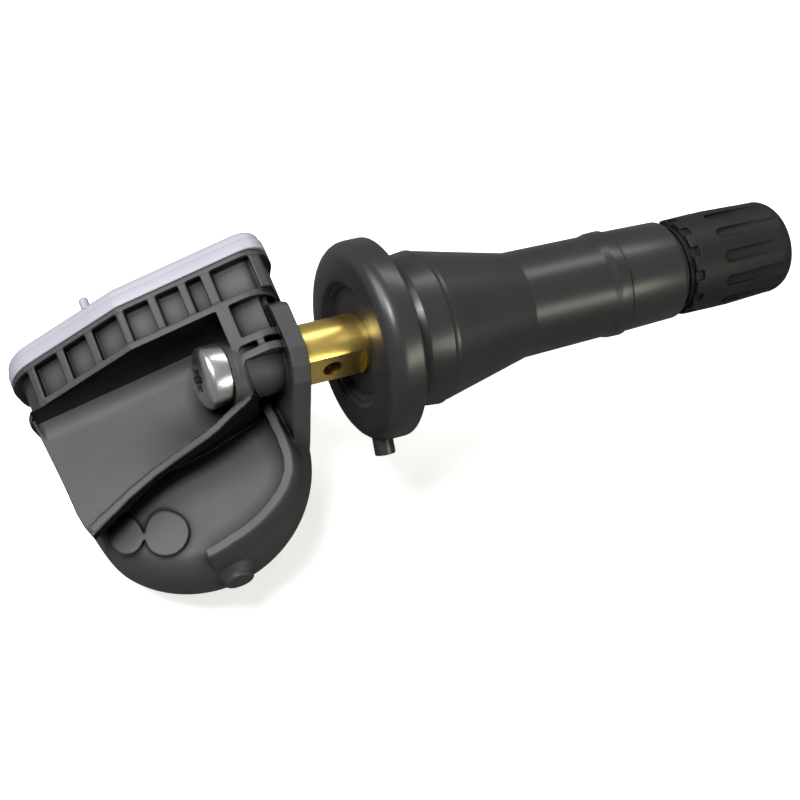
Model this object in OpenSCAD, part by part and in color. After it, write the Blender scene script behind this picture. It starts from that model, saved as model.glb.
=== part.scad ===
// Tyre pressure sensor: snap-in rubber valve with a sensor case screwed to its stem.
// The origin is the centre of the flange's sealing face, where the valve meets the rim.
// +X runs along the valve to the cap, +Y from the dome to the lid, +Z to the upper face.

/* [Rubber valve] */
// Radius of the flange that seals on the rim
flange_r = 9.7; // [8.8:0.1:10.5]
// Thickness of the flange
flange_t = 3.9; // [3.4:0.1:4.6]
// Width of the raised sealing ring on the flange
seal_ring_w = 1.45; // [1:0.05:1.6]
// Radius of the pocket around the stem in the flange
pocket_r = 6.1; // [5.4:0.1:6.3]
// Depth of that pocket
pocket_depth = 2.4; // [1.5:0.1:2.8]
// Radius of the groove that the rim hole closes on
groove_r = 5.9; // [5.4:0.1:6.2]
// Width of the groove
groove_w = 1.2; // [1:0.1:2.4]
// Radius of the snap ridge beyond the groove
ridge_r = 7.55; // [7:0.05:7.6]
// Length of the cone from the ridge to the neck
cone_len = 10.0; // [8:0.1:14]
// Radius of the rubber neck
neck_r = 5.2; // [5:0.05:5.6]
// Length of the neck up to its raised band
neck_len = 9.5; // [6:0.1:14]
// Width of the raised band
band_w = 1.5; // [0.8:0.1:2.5]
// Length of the rubber beyond the band
tip_len = 6.5; // [4:0.1:9]
// Radius of the small stub on the flange's edge
stub_r = 1.0; // [0.6:0.1:1.4]
// Reach of the stub past the flange's edge
stub_reach = 1.4; // [0.8:0.1:3]
// Direction of the stub around the valve, from +Y towards +Z, in degrees
stub_angle = 214; // [190:1:240]

/* [Stem and core] */
// Radius of the brass stem at its foot
stem_r = 2.9; // [2.6:0.05:3.1]
// Reach of the stem's foot behind the flange
foot_len = 6.4; // [5.6:0.1:8]
// Depth of the flat on the foot
flat_cut = 0.65; // [0.3:0.05:0.9]
// Radius of the air hole across the foot
cross_hole_r = 0.95; // [0.6:0.05:1.1]
// Radius of the air passage
air_r = 1.25; // [0.9:0.05:1.3]
// Radius over the stem's thread for the cap
thread_r = 3.85; // [3.75:0.05:4]
// Length of that thread
thread_len = 9.3; // [8:0.1:11]
// Radius over the thread of the valve core
core_r = 2.6; // [2.5:0.05:2.7]
// Radius of the core's pin
pin_r = 0.6; // [0.5:0.05:0.65]
// Travel of the pin when the valve is opened
pin_travel = 1.3; // [0.8:0.1:1.5]
// Diameter of the core spring's wire
spring_wire = 0.36; // [0.3:0.02:0.42]
// Turns of the core spring
spring_turns = 5; // [3:1:5]

/* [Cap] */
// Radius of the cap
cap_r = 4.95; // [4.85:0.05:5.3]
// Length of the cap
cap_len = 12.9; // [11.6:0.1:14]
// Thickness of the seal in the cap
cap_seal_t = 1.0; // [0.6:0.1:1.4]
// Number of grip flutes, and of notches at the open end
flute_count = 12; // [8:1:14]
// Depth of the flutes
flute_depth = 0.35; // [0.2:0.05:0.5]
// Width of a flute
flute_w = 1.15; // [0.8:0.05:1.3]

/* [Case] */
// Tilt of the case against the valve, in degrees
tilt = 25; // [20:1:30]
// Length of the case along its own base
case_len = 27.8; // [27.2:0.1:29]
// Height of the case over its flanges
case_h = 15.9; // [15.5:0.1:17]
// Distance from the valve's axis to the inner face of the lid
lid_seat_y = 9.9; // [9.6:0.1:10.4]
// Thickness of the lid
lid_t = 2.3; // [2:0.1:2.8]
// Thickness of the flanges around the case
rim_t = 0.65; // [0.5:0.05:0.9]
// Height of the ribbed band between the flanges
band_h = 2.85; // [2.4:0.05:3]
// Depth of the wall behind the ribs
rib_depth = 1.0; // [0.6:0.05:1.2]
// Thickness of the narrow ribs
rib_w = 0.8; // [0.5:0.05:1.2]
// Thickness of the case's walls
wall = 1.1; // [0.9:0.05:1.3]
// Thickness of the dome's wall around the cell
dome_wall = 1.55; // [1.1:0.05:1.8]
// Thickness of the bracket plate that the stem stands on
plate_t = 1.8; // [1.4:0.1:2.2]
// Radius of the boss behind the plate
boss_r = 2.8; // [2.6:0.1:3.4]
// Length of the boss
boss_len = 4.75; // [4:0.05:5.5]

/* [Screw] */
// Radius of the screw's head
head_r = 2.95; // [2.6:0.05:3.1]
// Height of the screw's head
head_h = 2.45; // [2:0.05:2.8]
// Radius over the screw's thread
screw_r = 1.5; // [1.3:0.05:1.6]
// Reach of the screw into the stem
screw_grip = 3.3; // [2.6:0.1:3.5]

/* [Electronics] */
// Diameter of the coin cell
cell_d = 16; // [15:0.5:16]
// Thickness of the coin cell
cell_t = 3.2; // [2.5:0.1:3.2]
// Thickness of the circuit board
board_t = 1.0; // [0.8:0.1:1.2]
// Length of the coil that picks up the wake-up signal
coil_len = 7.4; // [6:0.1:8]
// Side of the pressure sensor's package
chip_side = 5.0; // [4:0.1:5.5]

/* [Clearances] */
// Gap between fixed pieces that seat on each other
seat_gap = 0.02; // [0.01:0.01:0.05]
// Radial gap of running and threaded fits
run_gap = 0.08; // [0.05:0.01:0.1]
// Gap around loose pieces
loose_gap = 0.3; // [0.2:0.05:0.4]
// Room around the coin cell
cell_gap = 0.93; // [0.6:0.01:1.2]

/* [Hidden] */
$fn = 64;
fine = 96;
sharp = 0.3;

// Stations of the rubber along X
groove_x = 0.4;
ridge_x = groove_x + groove_w + 2.4;
cone_x = ridge_x + cone_len;
band_x = cone_x + neck_len;
tip_x = band_x + band_w;
rubber_end = tip_x + tip_len;
lip_x = rubber_end + 0.6;
seal_ring_r = flange_r - sharp;
seal_ring_in = seal_ring_r - seal_ring_w;
pocket_floor = -flange_t + pocket_depth;

// Stations of the stem and the core along X
foot_x = -flange_t - foot_len;
flat_end = pocket_floor - 1.5;
cross_x = foot_x + 4.1;
thread_x = lip_x + 0.1;
mouth_x = thread_x + thread_len + 0.5;
barrel_x = mouth_x - 5.0;
core_bore_r = core_r + run_gap / 2;
seat_x = barrel_x - 2.4;
chamber_r = core_r - 0.4;
chamber_x = seat_x - 3.3 - pin_travel;
stem_body_r = thread_r - 0.55;
stem_step_x = cone_x - 4;

// Stations inside the core
barrel_end = mouth_x - 1.0;
lip_face_x = seat_x - 0.8;
ledge_x = seat_x + 1.6;
spring_bore_r = pin_r + 0.95;
collar_x = barrel_end - 1.0;
spring_x0 = ledge_x + seat_gap;
spring_x1 = collar_x - seat_gap;
spring_mean_r = pin_r + 0.5;
barrel_neck_r = core_r - 0.8;
cup_r = chamber_r - 0.45;
cup_depth = 1.3;
cup_seal_t = 0.75;

// Stations of the cap along X
cap_x = lip_x + 0.15;
cap_end = cap_x + cap_len;
cap_bore_r = thread_r + run_gap;
cap_seal_x = mouth_x + seat_gap * 2;
cap_floor = cap_seal_x + cap_seal_t + seat_gap;
flute_x = cap_x + 2.7;

// Places in the case's own frame: x along its base, z up from its base through the axis
case_right = -6.75;
case_left = case_right - case_len;
case_top = 8.95;
case_mid = case_top - case_h / 2;
case_bottom = case_top - case_h;
taper_len = case_len * 0.4676;
taper_x = case_left + taper_len;
taper_drop = case_h * 0.239;
taper_r = (case_h - taper_drop * 2) * 0.506;
heel_z = case_top - case_h * 0.261;
heel_back = 3.9;
heel_r = case_h * 0.2516;
top_rim_y = lid_seat_y - rim_t;
low_rim_top = top_rim_y - band_h;
low_rim_y = low_rim_top - rim_t - 0.2;

// Places of the cell in its hollow, and of the dome around it
tab_t = 0.2;
tab_w = 3.5;
cell_r = cell_d / 2;
cavity_floor = case_bottom + wall;
cell_z = cavity_floor + 2.25;
cell_top_gap = tab_t + 0.1;
cell_room = cell_z + cell_t + cell_top_gap - cavity_floor;
floor_z = cavity_floor + cell_room + wall;
hollow_r = cell_r + cell_gap;
dome_top_r = hollow_r + dome_wall;
dome_belly_z = floor_z - 4;
dome_edge = dome_belly_z - case_bottom - 0.35;
dome_lean_r = 8;
dome_lean = asin((floor_z - dome_belly_z) / dome_lean_r);
dome_r = dome_top_r + dome_lean_r * (1 - cos(dome_lean));
dome_x = case_left + dome_r + 0.85;
dome_y = -3.75;
strip_z = floor_z + 1.3;
strip_w = 0.85;
face_r = dome_top_r - 0.1;
strip_r = dome_top_r - 0.15;
cell_x = dome_x;
cell_y = dome_y + 0.2;

// Places of the electronics in the same frame
bay_inset = rib_depth + 0.9;
bay_bottom = case_bottom + bay_inset + 0.6;
board_y = lid_seat_y - 2.3;
board_top = board_y + board_t;
lid_recess = lid_t - 1.0;
cavity_top = floor_z + 1.6;
cavity_right = dome_x + hollow_r - 1.5;
chip_h = 1.9;
chip_x = case_right - case_len * 0.333;
port_r = 0.6;

function arc(cx, cy, r, a0, a1, n = 8) =
    [for (i = [0:n]) let (a = a0 + (a1 - a0) * i / n) [cx + r * cos(a), cy + r * sin(a)]];

// Moves every edge of a convex outline inwards by d
function unit(v) = v / norm(v);
function normal_of(p, q) = let (u = unit(q - p)) [-u[1], u[0]];
function inset(p, d) = let (n = len(p)) [for (i = [0:n - 1])
    let (a = normal_of(p[(i + n - 1) % n], p[i]), b = normal_of(p[i], p[(i + 1) % n]))
    p[i] + d * (a + b) / (1 + a * b)];

// Rounds each corner of an outline by its own radius
function corner(a, p, b, r, n) =
    let (u = unit(a - p), v = unit(b - p), half = acos(u * v) / 2,
        t = r / tan(half), c = p + unit(u + v) * r / sin(half),
        s = p + u * t - c, e = p + v * t - c,
        a0 = atan2(s[1], s[0]), turn = atan2(s[0] * e[1] - s[1] * e[0], s * e))
    [for (i = [0:n]) c + r * [cos(a0 + turn * i / n), sin(a0 + turn * i / n)]];
function rounded(p, r, n = 6) = let (m = len(p))
    [for (i = [0:m - 1]) each corner(p[(i + m - 1) % m], p[i], p[(i + 1) % m], r[i], n)];

// Outline of the case seen from the lid, in its own x and z
function case_corners(right, left) = [
    [right - heel_back, case_mid - case_h / 2], [right, heel_z], [right, case_mid + case_h / 2],
    [taper_x, case_mid + case_h / 2], [left, case_mid + case_h / 2 - taper_drop],
    [left, case_mid - case_h / 2 + taper_drop], [taper_x, case_mid - case_h / 2]];
function case_outline(d = 0, right = case_right, left = case_left) =
    rounded(inset(case_corners(right, left), d),
        [for (r = [2.6, heel_r, 2.6, 2, taper_r, taper_r, 2]) max(r - d, 0.5)]);

// Turns what is drawn in the case's frame into the valve's frame
module in_case() {
    rotate([0, -tilt, 0]) children();
}

// A plate of the case's outline from y0 to y1
module case_slab(y0, y1, d = 0, right = case_right, left = case_left) {
    translate([0, y1, 0]) rotate([90, 0, 0])
        linear_extrude(y1 - y0) polygon(case_outline(d, right, left));
}

// A block from its lowest to its highest corner
module block(a, b) {
    translate(a) cube(b - a);
}

// A solid turned around the valve's axis from points of x and radius
module turned(points, n = fine) {
    rotate([0, 90, 0]) rotate_extrude($fn = n)
        polygon([for (p = points) [p[1], p[0]]]);
}

// A round bar or hole along X
module bar(x0, x1, r, n = $fn) {
    translate([x0, 0, 0]) rotate([0, 90, 0]) cylinder(h = x1 - x0, r = r, $fn = n);
}

// Height of the sloping upper face: a trough under the flange that rises to the step
face_cols = 16;
face_rows = 10;
trough_z = floor_z + 3.1;
step_right = [dome_x + 8.85, dome_y + 0.75];
step_left = [dome_x - 9.25, dome_y - 3.65];
step_top = case_top - 1.85;
bracket_left = -13.1;
face_right = bracket_left + 0.1;
function step_y(x) = let (t = (step_right[0] - x) / (step_right[0] - step_left[0]))
    step_right[1] + (step_left[1] - step_right[1]) * (0.62 * t + 0.38 * pow(t, 4))
        - 0.55 * sin(180 * min(t, 1));
function step_z(x) = let (t = (face_right - x) / (face_right - dome_x + face_r))
    step_top - 2.3 * (1 - cos(180 * min(t * 1.35, 1))) / 2 + 0.5 * pow(t, 3);
function face_left(y) = y < dome_y ? dome_x - sqrt(pow(face_r, 2) - pow(y - dome_y, 2))
    : dome_x - face_r - 1.05 * (y - dome_y) / (low_rim_y - dome_y);
function face_point(u, v, lift) =
    let (x0 = face_right + (dome_x - face_r - face_right) * u,
        y = low_rim_y + (step_y(x0) - low_rim_y) * v,
        x = face_right + (face_left(y) - face_right) * u,
        s = (1 - cos(180 * pow(v, 1 + 8 * pow(1 - u, 2.5)))) / 2)
    [x, y, lift ? trough_z + (step_z(x0) - trough_z) * s : floor_z - wall / 2];
module upper_face() {
    n = face_rows + 1;
    m = face_cols + 1;
    pts = [for (k = [1, 0], i = [0:face_cols], j = [0:face_rows])
        face_point(i / face_cols, j / face_rows, k == 1)];
    top = [for (i = [0:face_cols - 1], j = [0:face_rows - 1]) let (a = i * n + j)
        each [[a, a + 1, a + n], [a + 1, a + n + 1, a + n]]];
    base = [for (i = [0:face_cols - 1], j = [0:face_rows - 1]) let (a = m * n + i * n + j)
        each [[a, a + n, a + 1], [a + 1, a + n, a + n + 1]]];
    ends = [for (j = [0:face_rows - 1], i = [0, face_cols]) let (a = i * n + j, b = a + m * n)
        each i == 0 ? [[a, b, a + 1], [a + 1, b, b + 1]] : [[a, a + 1, b], [a + 1, b + 1, b]]];
    sides = [for (i = [0:face_cols - 1], j = [0, face_rows]) let (a = i * n + j, b = a + m * n)
        each j == 0 ? [[a, a + n, b], [a + n, b + n, b]] : [[a, b, a + n], [a + n, b, b + n]]];
    polyhedron(pts, concat(top, base, ends, sides));
}

// The dome and the lower body behind the upper face
function dome_profile(side) = concat(
    [[0, case_bottom]],
    [for (p = arc(dome_r - dome_edge, case_bottom + dome_edge, dome_edge, -90, 0)) [side * p[0], p[1]]],
    [for (p = arc(dome_r - dome_lean_r, dome_belly_z, dome_lean_r, 0, dome_lean, 6)) [side * p[0], p[1]]],
    [[0, floor_z]]);
module lower_body() {
    translate([dome_x, dome_y, 0]) {
        rotate_extrude($fn = fine) polygon(dome_profile(1));
        for (side = [-1, 1])
            translate([0, low_rim_y - dome_y, 0]) rotate([90, 0, 0])
                linear_extrude(low_rim_y - dome_y) polygon(dome_profile(side));
    }
}

// The raised rim around the lower recess, along the side and the dome
module recess_rim() {
    translate([dome_x, dome_y, floor_z - 0.5]) linear_extrude(strip_z - floor_z + 0.5) difference() {
        union() {
            intersection() {
                circle(r = strip_r, $fn = fine);
                polygon([[0, 0], [dome_r, 0], [dome_r, -dome_r], [-0.8, -dome_r], [-0.8, 0]]);
            }
            square([strip_r, 3]);
        }
        circle(r = strip_r - strip_w, $fn = fine);
        translate([-1, 0]) square([strip_r - strip_w + 1, 4]);
    }
}

// The ribs between the two flanges of the case
rib_x = [for (s = [0.106, 0.225, 0.3435, 0.4695, 0.588, 0.6995]) case_left + case_len * s];
module flange_ribs() {
    for (x = rib_x)
        intersection() {
            case_slab(low_rim_top - 0.1, top_rim_y + 0.1, 0.1);
            block([x - rib_w / 2, low_rim_y, case_bottom - 1], [x + rib_w / 2, top_rim_y + 1, case_top + 1]);
        }
    intersection() {
        case_slab(low_rim_top - 0.1, top_rim_y + 0.1, 0.1);
        union() {
            for (x = [bracket_left - 0.1, bracket_right + 0.05])
                block([x, low_rim_y, case_bottom - 1], [x + 0.95, top_rim_y + 1, case_top + 1]);
        }
    }
}

// The box behind the bracket plate, with its two shelves and the web between them
shelf_t = 0.8;
shelf_y = [0.85, -0.6];
bracket_right = -8.4;
bracket_post = 1.3;
module bracket_box() {
    top_y = low_rim_y + 0.2;
    low_y = shelf_y[0] + shelf_t - 0.1;
    base = floor_z - 0.5;
    block([bracket_left, shelf_y[1] - 0.4, base], [bracket_right - 1.9, top_y, case_top - 2.6]);
    block([bracket_left, low_y, base], [bracket_right - 0.6, top_y, case_top - 0.9]);
    block([bracket_left, low_y, base], [bracket_left + bracket_post, top_y, case_top]);
    block([bracket_right - 0.8, low_y, base], [bracket_right, top_y, case_top - 1.5]);
    for (y = shelf_y)
        translate([0, y + shelf_t, 0]) rotate([90, 0, 0]) linear_extrude(shelf_t)
            polygon(concat([[bracket_left, base], [bracket_right + 0.2, base]],
                arc(bracket_right - 1.8, case_top - 2.0, 2.0, 0, 90), [[bracket_left, case_top]]));
    block([bracket_left + 2.45, shelf_y[1] + 0.1, base],
        [bracket_left + 3.15, shelf_y[0] + 0.1, case_top - 0.1]);
}

// The plate that the stem stands on, drawn across the valve's axis
plate_x1 = foot_x + 1.05;
plate_x0 = plate_x1 - plate_t;
boss_x0 = plate_x0 - boss_len;
seat_pad = 0.6;
head_x = boss_x0 - seat_pad;
plate_low = (case_bottom + 4.73 + plate_x0 * sin(tilt)) / cos(tilt);
module bracket_plate() {
    translate([plate_x0, 0, 0]) rotate([90, 0, 90]) linear_extrude(plate_t)
        polygon(concat(arc(3.2, 2.95, 1.2, 30, 90, 5),
            [[-1.2, 4.15], [-2.6, 3.3], [-3.7, 1.9], [-5.1, -1.0], [dome_y - 3.05, plate_low + 3.3],
             [dome_y - 3.75, plate_low + 1.6], [dome_y - 3.2, plate_low],
             [low_rim_y + 0.15, plate_low], [low_rim_y + 0.15, 1.6]]));
}

// The hollow for the board and the cell, open at the lid
module case_hollow() {
    case_slab(board_y - seat_gap, lid_seat_y + 1, bay_inset);
    case_slab(low_rim_top, board_y + 0.1, bay_inset + 0.6);
    translate([dome_x, dome_y, cavity_floor]) cylinder(r = hollow_r, h = cell_room, $fn = fine);
    block([dome_x - hollow_r, dome_y, cavity_floor], [dome_x + hollow_r, low_rim_y, floor_z - wall]);
    block([dome_x - hollow_r, dome_y + 2, cavity_floor], [cavity_right, low_rim_y, cavity_top]);
    block([dome_x - hollow_r, low_rim_y - 0.1, bay_bottom], [cavity_right, low_rim_top + 0.1, cavity_top]);
}

module sensor_housing() {
    color([0.09, 0.09, 0.095]) difference() {
        union() {
            in_case() {
                case_slab(top_rim_y, lid_seat_y);
                case_slab(low_rim_y, top_rim_y + 0.1, rib_depth);
                case_slab(low_rim_y, low_rim_top, 0, case_right - 0.9, case_left + 0.4);
                flange_ribs();
                lower_body();
                upper_face();
                recess_rim();
                bracket_box();
                // small end boss on the dome's tip
                translate([dome_x + 0.5, dome_y - dome_r + 2, -2.2]) rotate([90, 0, 0])
                    cylinder(r = 1.4, h = 2.5);
                // two round pads on the recess floor
                translate([dome_x - 0.694 * dome_top_r, dome_y - 0.45 * dome_top_r, floor_z - 0.3])
                    cylinder(r = 1.55, h = 0.45);
                translate([dome_x - 0.352 * dome_top_r, dome_y - 0.567 * dome_top_r, floor_z - 0.3])
                    cylinder(r = 2.05, h = 0.45);
            }
            bracket_plate();
            bar(boss_x0, plate_x0 + 0.5, boss_r);
            bar(head_x, boss_x0 + 0.5, head_r - 0.2);
        }
        in_case() difference() {
            case_hollow();
            // two ribs under the cell
            for (x = [-5, 5])
                block([cell_x + x - 0.5, cell_y - cell_r * 0.7, cavity_floor - 1],
                    [cell_x + x + 0.5, cell_y + 2, cell_z - seat_gap]);
        }
        bar(head_x - 1, plate_x1 + 1, screw_r + run_gap);
        bar(foot_x - seat_gap, plate_x1 + 1, stem_r + seat_gap);
        // room for the screw's head
        bar(head_x - head_h - 1.5, head_x, head_r + loose_gap);
    }
}

module housing_lid() {
    y1 = lid_seat_y + lid_t;
    color([0.78, 0.78, 0.79]) in_case() difference() {
        union() {
            hull() for (i = [0:4]) let (a = i * 22.5)
                case_slab(lid_seat_y + seat_gap, y1 - 0.8 * (1 - sin(a)), 0.8 * (1 - cos(a)));
            // small locating pip near the tapered edge
            translate([taper_x - 2.85, y1 - 0.2, case_top - taper_drop * 2.85 / taper_len - 0.77])
                rotate([-90, 0, 0]) cylinder(r = 0.45, h = 1.1);
        }
        case_slab(lid_seat_y - 1, lid_seat_y + lid_recess, bay_inset);
        translate([chip_x, y1 + 1, case_mid]) rotate([90, 0, 0]) cylinder(r = port_r, h = lid_t + 2);
    }
}

module circuit_board() {
    color([0.1, 0.32, 0.16]) in_case() case_slab(board_y, board_top, bay_inset + loose_gap);
}

module coin_cell() {
    color([0.75, 0.75, 0.76]) in_case() translate([cell_x, cell_y, cell_z]) {
        rotate_extrude($fn = fine) polygon([[0, 0], [cell_r - 1.4, 0], [cell_r - 1.0, 0.35],
            [cell_r - 0.2, 0.35], [cell_r, 0.55], [cell_r, cell_t - 0.3],
            [cell_r - 0.3, cell_t], [0, cell_t]]);
    }
}

// A flat metal tab that runs from one face of the cell to the board
module battery_tab(z, x) {
    block([x - tab_w / 2, cell_y - 2, z], [x + tab_w / 2, board_y - seat_gap, z + tab_t]);
    block([x - tab_w / 2, board_y - seat_gap - tab_t, z - 1], [x + tab_w / 2, board_y - seat_gap, z + tab_t]);
}

module battery_tab_positive() {
    x = coil_x - coil_len / 2 - 0.55 - tab_w / 2;
    color([0.8, 0.78, 0.7]) in_case() battery_tab(cell_z + cell_t + seat_gap, x);
}

module battery_tab_negative() {
    z = cell_z - seat_gap - tab_t;
    color([0.8, 0.78, 0.7]) in_case() mirror([0, 0, 1]) battery_tab(-z - tab_t, cell_x + 0.25 * cell_r);
}

module pressure_chip() {
    color([0.12, 0.12, 0.12]) in_case() translate([chip_x, board_top + seat_gap, case_mid])
        rotate([-90, 0, 0]) difference() {
            translate([-chip_side / 2, -chip_side / 2, 0]) cube([chip_side, chip_side, chip_h]);
            translate([0, 0, chip_h - 0.5]) cylinder(r = port_r + 0.2, h = 1);
        }
}

module port_gasket() {
    y0 = board_top + chip_h + seat_gap * 2;
    y1 = lid_seat_y + lid_recess - seat_gap;
    color([0.75, 0.35, 0.2]) in_case() translate([chip_x, y1, case_mid]) rotate([90, 0, 0])
        difference() {
            cylinder(r = port_r + 1.1, h = y1 - y0);
            translate([0, 0, -1]) cylinder(r = port_r + 0.2, h = y1 - y0 + 2);
        }
}

// Coil on a ferrite bar, lying along the board's inner face
coil_r = 1.2;
coil_x = min(cavity_right, case_right - heel_back - bay_inset) - 0.23 - coil_len / 2;
coil_y = board_y - coil_r - 0.5;
coil_z = cavity_top - 2.2;
module wake_coil_core() {
    e = coil_len / 2;
    color([0.2, 0.2, 0.22]) in_case() translate([coil_x, coil_y, coil_z]) {
        bar(-e, e, coil_r - 0.35, 32);
        for (x = [-e, e - 0.8])
            block([x, -coil_r - 0.2, -coil_r - 0.2], [x + 0.8, board_y - seat_gap - coil_y, coil_r + 0.2]);
    }
}

module wake_coil_winding() {
    e = coil_len / 2 - 0.8 - seat_gap;
    color([0.72, 0.38, 0.16]) in_case() translate([coil_x, coil_y, coil_z]) difference() {
        bar(-e, e, coil_r, 32);
        bar(-e - 1, e + 1, coil_r - 0.35 + seat_gap, 32);
    }
}

// Bent strip that stands off the board's outer face
module transmit_antenna() {
    y0 = board_top + seat_gap;
    z0 = case_mid - case_h * 0.192;
    x0 = case_left + case_len * 0.187;
    x1 = chip_x - chip_side / 2 - 1.2;
    color([0.82, 0.8, 0.72]) in_case() {
        block([x0, y0 + 1.0, z0], [x1, y0 + 1.3, z0 + 1.2]);
        for (x = [x0, x1 - 0.3])
            block([x, y0, z0], [x + 0.3, y0 + 1.3, z0 + 1.2]);
    }
}

module crystal_can() {
    corner = [case_right - case_len * 0.678, board_top + seat_gap, case_mid + case_h * 0.075];
    color([0.8, 0.8, 0.8]) in_case() translate(corner)
        hull() for (x = [0.4, 2.8], z = [0.4, 2.1])
            translate([x, 0.8, z]) rotate([90, 0, 0]) cylinder(r = 0.4, h = 0.8, $fn = 24);
}

// Shares of the case's length from its right end, and of its height from its middle
capacitor_spots = [[0.743, -0.025], [0.743, 0.075], [0.689, -0.12], [0.628, -0.038], [0.57, -0.12],
    [0.226, 0.182], [0.226, -0.163], [0.491, 0.24]];
module chip_capacitors() {
    color([0.62, 0.5, 0.36]) in_case() for (p = capacitor_spots)
        translate([case_right - case_len * p[0], board_top + seat_gap, case_mid + case_h * p[1]])
            cube([1.0, 0.5, 0.5]);
}

module mounting_screw() {
    dome_h = 0.65;
    side_h = head_h - dome_h;
    tip_x = foot_x + screw_grip;
    color([0.8, 0.8, 0.82]) difference() {
        union() {
            turned([[head_x - seat_gap, 0], [head_x - seat_gap, head_r], [head_x - side_h, head_r],
                [head_x - side_h - 0.3, head_r - 0.15], [head_x - head_h + 0.12, 0.75 * head_r],
                [head_x - head_h, 0.6 * head_r], [head_x - head_h, 0]]);
            bar(head_x - 0.1, tip_x, screw_r);
        }
        // six-lobed drive
        bar(head_x - head_h - 1, head_x - head_h + 1.3, 1.05, 32);
        for (i = [0:5]) rotate([60 * i, 0, 0]) translate([0, 1.05, 0])
            bar(head_x - head_h - 1, head_x - head_h + 1.3, 0.33, 24);
    }
}

module valve_stem() {
    flat_normal = 172;
    color([0.83, 0.64, 0.25]) difference() {
        turned([[foot_x, 0], [foot_x, stem_r], [stem_step_x, stem_r], [stem_step_x + 1, stem_body_r],
            [thread_x - 0.3, stem_body_r], [thread_x, thread_r], [mouth_x - 0.5, thread_r],
            [mouth_x, thread_r - 0.5], [mouth_x, 0]]);
        // air passage, core chamber, seat cone and core thread
        bar(cross_x - 0.9, chamber_x + 1, air_r);
        turned([[chamber_x, 0], [chamber_x, chamber_r], [seat_x, chamber_r],
            [seat_x + 1.4, core_bore_r], [mouth_x + 1, core_bore_r], [mouth_x + 1, 0]]);
        bar(foot_x - 1, foot_x + screw_grip + 0.4, screw_r + run_gap / 2);
        // flat with the air hole across it
        rotate([flat_normal, 0, 0]) {
            block([plate_x1 + 0.15, stem_r - flat_cut, -5], [flat_end, stem_r + 1, 5]);
            translate([cross_x, 0, 0]) rotate([-90, 0, 0]) cylinder(r = cross_hole_r, h = 5);
        }
    }
}

module rubber_valve_body() {
    r0 = stem_r + seat_gap;
    r1 = stem_body_r + seat_gap;
    edge = 1.7;
    color([0.16, 0.16, 0.165]) difference() {
        union() {
            turned(concat(
                [[pocket_floor, r0], [pocket_floor, pocket_r - 0.3], [pocket_floor - 0.3, pocket_r]],
                [[-flange_t + 0.2, pocket_r + 0.5], [-flange_t, pocket_r + 0.8]],
                arc(-flange_t + edge, flange_r - edge, edge, 180, 90, 6),
                [[-0.5, flange_r], [-0.15, flange_r - 0.1], [0, seal_ring_r], [0, seal_ring_in],
                 [-0.3, seal_ring_in - sharp], [-0.3, groove_r + 0.7]],
                arc(groove_x, groove_r + 0.7, 0.7, 180, 270, 4),
                [[groove_x + groove_w - 0.3, groove_r], [groove_x + groove_w + 0.3, ridge_r - 0.75],
                 [ridge_x - 0.2, ridge_r - 0.05], [ridge_x, ridge_r], [ridge_x + 0.4, ridge_r - 0.2],
                 [cone_x, neck_r + 0.12], [cone_x + 1, neck_r], [band_x, neck_r - 0.08],
                 [band_x + 0.1, neck_r + 0.15], [tip_x - 0.1, neck_r + 0.15], [tip_x, neck_r - 0.1],
                 [rubber_end - 0.4, neck_r - 0.25], [rubber_end, neck_r - 0.65],
                 [rubber_end, neck_r - 0.9], [lip_x, neck_r - 0.95], [lip_x, r1],
                 [stem_step_x + 1 - seat_gap, r1], [stem_step_x - seat_gap, r0]]));
            rotate([stub_angle, 0, 0]) translate([-flange_t / 2, flange_r - 1, 0]) rotate([-90, 0, 0])
                cylinder(r = stub_r, h = stub_reach + 1);
        }
    }
}

module core_barrel() {
    color([0.8, 0.62, 0.25]) difference() {
        turned([[lip_face_x, 0], [lip_face_x, pin_r + 0.55], [seat_x - 0.1, pin_r + 0.75],
            [seat_x, barrel_neck_r], [barrel_x - 0.2, barrel_neck_r], [barrel_x, core_r],
            [barrel_end, core_r], [barrel_end, 0]]);
        bar(lip_face_x - 1, barrel_end + 1, pin_r + run_gap);
        bar(ledge_x, barrel_end + 1, spring_bore_r);
    }
}

module core_barrel_seal() {
    slope = (core_bore_r - chamber_r) / 1.4;
    color([0.85, 0.2, 0.15]) turned([[seat_x + 0.1, barrel_neck_r + seat_gap],
        [seat_x + 0.1, chamber_r - seat_gap * 2], [seat_x + 1.3, chamber_r - seat_gap * 2 + 1.2 * slope],
        [seat_x + 1.9, core_bore_r - seat_gap * 2], [barrel_x - 0.3, core_bore_r - seat_gap * 2],
        [barrel_x - 0.3, barrel_neck_r + seat_gap]]);
}

// The pin slides on the axis: its collar takes the spring, its foot carries the cup
cup_x = lip_face_x - seat_gap - cup_seal_t - 0.3;
module core_pin() {
    color([0.82, 0.66, 0.3]) {
        bar(cup_x, mouth_x - 0.35, pin_r, 32);
        bar(collar_x, collar_x + 0.4, spring_bore_r - run_gap, 32);
    }
}

module core_cup() {
    color([0.82, 0.66, 0.3]) difference() {
        bar(cup_x - 0.5, cup_x - 0.5 + cup_depth, cup_r, 48);
        bar(cup_x, cup_x + cup_depth, cup_r - 0.3, 48);
        bar(cup_x - 1, cup_x + 1, pin_r - 0.15, 32);
    }
}

module core_cup_seal() {
    color([0.12, 0.12, 0.12]) difference() {
        bar(cup_x + seat_gap, lip_face_x - seat_gap, cup_r - 0.3 - seat_gap, 48);
        bar(cup_x - 1, lip_face_x + 1, pin_r + seat_gap, 32);
    }
}

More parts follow.
